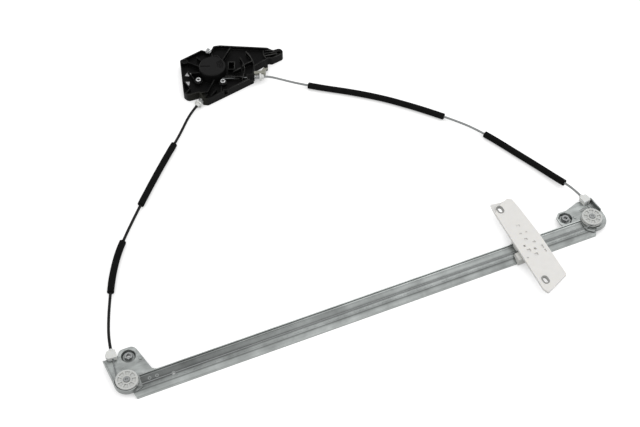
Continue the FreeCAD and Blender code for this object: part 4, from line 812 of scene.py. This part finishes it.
class REGULATOR_OT_springs(Operator):
    """Tension springs behind the collars"""

    bl_idname = "regulator.springs"
    bl_label = "Tension Springs"

    def execute(self, context):
        colours = context.scene.regulator_finishes
        sizes = context.scene.regulator_sizes
        steel = bright_metal("spring_steel", shaded(colours.bright_zinc, 0.8), roughness=0.3)
        for side, route in (("left", LEFT_ROUTE), ("right", RIGHT_ROUTE)):
            points = self.coil(Vector(route[0]), Vector(route[1]), sizes)
            made = round_curve(side + "_coil_spring", "POLY", points, sizes.spring_wire, steel)
            settle(made, "base", "bright_steel", side + "_tension_spring")
        return {"FINISHED"}

    def coil(self, end, before, sizes):
        """Points of a spring that goes on from a conduit's end."""
        way = (end - before).normalized()
        across, over = sides_of(way)
        steps = int(sizes.spring_turns * SPRING_STEPS)
        first = end + way * SPRING_START
        points = []
        for i in range(steps + 1):
            angle = 2 * math.pi * i / SPRING_STEPS
            along = sizes.spring_wire / 2 + (SPRING_LENGTH - sizes.spring_wire) * i / steps
            around = across * math.cos(angle) + over * math.sin(angle)
            points.append(first + way * along + around * (sizes.spring_coil / 2))
        return points


class REGULATOR_OT_plastics(Operator):
    """Carrier, shoe, pulleys, fittings and collars"""

    bl_idname = "regulator.plastics"
    bl_label = "Pale Plastics"

    def execute(self, context):
        colours = context.scene.regulator_finishes
        dress(natural_plastic("natural_acetal", colours.acetal), "left_rail_fitting",
              "right_rail_fitting", "left_collar", "right_collar", "cable_drum")
        dress(natural_plastic("pulley_plastic", colours.pulley), "left_pulley", "right_pulley")
        dress(natural_plastic("carrier_plastic", colours.carrier, roughness=0.46), "carrier_plate")
        dress(natural_plastic("shoe_plastic", colours.shoe, roughness=0.42), "guide_shoe")
        return {"FINISHED"}


class REGULATOR_OT_housing(Operator):
    """Black drum housing with its cover and side clip"""

    bl_idname = "regulator.housing"
    bl_label = "Drum Housing"

    def execute(self, context):
        colours = context.scene.regulator_finishes
        black = black_moulding("black_moulding", colours.housing, colours.rib_highlight)
        dress(black, "drum_housing", "drum_cover")
        dress(natural_plastic("clip_plastic", colours.clip, roughness=0.40), "side_clip")
        dress(foam_skin("grommet_rubber", colours.rubber), "clip_grommet")
        return {"FINISHED"}


class REGULATOR_OT_stage(Operator):
    """Camera, floor, world and lamps"""

    bl_idname = "regulator.stage"
    bl_label = "Stage"

    def execute(self, context):
        stage = context.scene.regulator_stage
        self.place_camera(context, stage)
        self.lay_floor(stage)
        self.set_world(context)
        self.hang_lamps()
        context.scene.view_settings.view_transform = "Standard"
        return {"FINISHED"}

    def place_camera(self, context, stage):
        """Camera at the angle from which the regulator is seen."""
        target = Vector(CAMERA_TARGET)
        heading = Vector((math.sin(stage.heading), math.cos(stage.heading), 0))
        right = heading.cross(UP)
        view = heading * math.cos(stage.dip) - UP * math.sin(stage.dip)
        top = right.cross(view)
        data = bpy.data.cameras.new("camera")
        data.lens = stage.lens
        data.sensor_width = SENSOR
        data.sensor_fit = "HORIZONTAL"
        data.clip_start = 0.05
        camera = add_object("camera", data)
        axes = Matrix((right, top, -view)).transposed().to_4x4()
        camera.matrix_world = Matrix.Translation(target - view * stage.reach) @ axes
        context.scene.camera = camera

    def seen_rays(self, tree):
        """1 for rays from the camera, a mirror or glass, and 0 for the light on a dull surface."""
        path = tree.nodes.new("ShaderNodeLightPath")
        seen = path.outputs["Is Camera Ray"]
        for ray in ("Is Glossy Ray", "Is Transmission Ray"):
            either = tree.nodes.new("ShaderNodeMath")
            either.operation = "MAXIMUM"
            tree.links.new(seen, either.inputs[0])
            tree.links.new(path.outputs[ray], either.inputs[1])
            seen = either.outputs[0]
        return seen

    def pick(self, tree, plain, seen, output):
        """Join two shaders, the second for rays that see the background."""
        chosen = tree.nodes.new("ShaderNodeMixShader")
        tree.links.new(self.seen_rays(tree), chosen.inputs[0])
        tree.links.new(plain.outputs[0], chosen.inputs[1])
        tree.links.new(seen.outputs[0], chosen.inputs[2])
        tree.links.new(chosen.outputs[0], tree.nodes[output].inputs["Surface"])

    def lay_floor(self, stage):
        """Pale floor that the camera sees as white, with the object's soft shadow and a painted shadow
        that dims its glow close to the object.
        """
        material = finish("floor", stage.floor, roughness=0.9, specular=0.0)
        tree = material.node_tree
        shader = tree.nodes["Principled BSDF"]
        # Painted shadow: the glow dimmed close to the object.
        near = openness(material, reach=PAINTED_SHADOW_REACH, alone=False)
        bright = spread(material, near, PAINTED_SHADOW_GLOW, stage.glow, start=0.0, end=0.8)
        glow = node(material, "ShaderNodeEmission", {"Color": (*WHITE, 1.0), "Strength": bright})
        both = tree.nodes.new("ShaderNodeAddShader")
        tree.links.new(shader.outputs[0], both.inputs[0])
        tree.links.new(glow.outputs[0], both.inputs[1])
        self.pick(tree, shader, both, "Material Output")
        corners = [(x * FLOOR_REACH, y * FLOOR_REACH, 0) for x, y in ((-1, -1), (1, -1), (1, 1), (-1, 1))]
        add_mesh("floor", corners, [(0, 1, 2, 3)], material, smooth=False)

    def set_world(self, context):
        """Plain pale surroundings."""
        world = bpy.data.worlds.new("studio")
        context.scene.world = world
        world.use_nodes = True
        tree = world.node_tree
        back = tree.nodes["Background"]
        back.inputs["Color"].default_value = (*WHITE, 1.0)
        back.inputs["Strength"].default_value = context.scene.regulator_stage.sky
        backdrop = tree.nodes.new("ShaderNodeBackground")
        backdrop.inputs["Color"].default_value = (*BACKDROP, 1.0)
        backdrop.inputs["Strength"].default_value = 1.0
        self.pick(tree, back, backdrop, "World Output")

    def hang_lamps(self):
        """Three wide soft lamps."""
        for name, place, (width, depth), power in LAMPS:
            data = bpy.data.lights.new(name, "AREA")
            data.shape = "RECTANGLE"
            data.size = width
            data.size_y = depth
            data.energy = power
            lamp = add_object(name, data)
            lamp.location = place
            lamp.rotation_euler = (-Vector(place)).to_track_quat("-Z", "Y").to_euler()


class REGULATOR_PT_panel(Panel):
    """Regulator's pieces, sizes and colours"""

    bl_label = "Window Regulator"
    bl_idname = "REGULATOR_PT_panel"
    bl_space_type = "VIEW_3D"
    bl_region_type = "UI"
    bl_category = "Regulator"

    def draw(self, context):
        layout = self.layout
        for operator in OPERATORS:
            layout.operator(operator.bl_idname)
        for group in (context.scene.regulator_finishes, context.scene.regulator_sizes,
                      context.scene.regulator_stage):
            box = layout.box()
            for name in group.__annotations__:
                box.prop(group, name)


GROUPS = (RegulatorFinishes, RegulatorSizes, RegulatorStage)
OPERATORS = (
    REGULATOR_OT_stage,
    REGULATOR_OT_conduits,
    REGULATOR_OT_running_wire,
    REGULATOR_OT_steel,
    REGULATOR_OT_fasteners,
    REGULATOR_OT_springs,
    REGULATOR_OT_plastics,
    REGULATOR_OT_housing,
)
CLASSES = GROUPS + OPERATORS + (REGULATOR_PT_panel,)


def register():
    """Add the classes and the scene's settings."""
    for item in CLASSES:
        bpy.utils.register_class(item)
    bpy.types.Scene.regulator_finishes = PointerProperty(type=RegulatorFinishes)
    bpy.types.Scene.regulator_sizes = PointerProperty(type=RegulatorSizes)
    bpy.types.Scene.regulator_stage = PointerProperty(type=RegulatorStage)


def unregister():
    """Take the classes and the settings away."""
    del bpy.types.Scene.regulator_stage
    del bpy.types.Scene.regulator_sizes
    del bpy.types.Scene.regulator_finishes
    for item in reversed(CLASSES):
        bpy.utils.unregister_class(item)


def main():
    """Build every piece."""
    register()
    bpy.ops.regulator.stage()
    bpy.ops.regulator.conduits()
    bpy.ops.regulator.running_wire()
    bpy.ops.regulator.steel()
    bpy.ops.regulator.fasteners()
    bpy.ops.regulator.springs()
    bpy.ops.regulator.plastics()
    bpy.ops.regulator.housing()


if __name__ == "__main__":
    main()
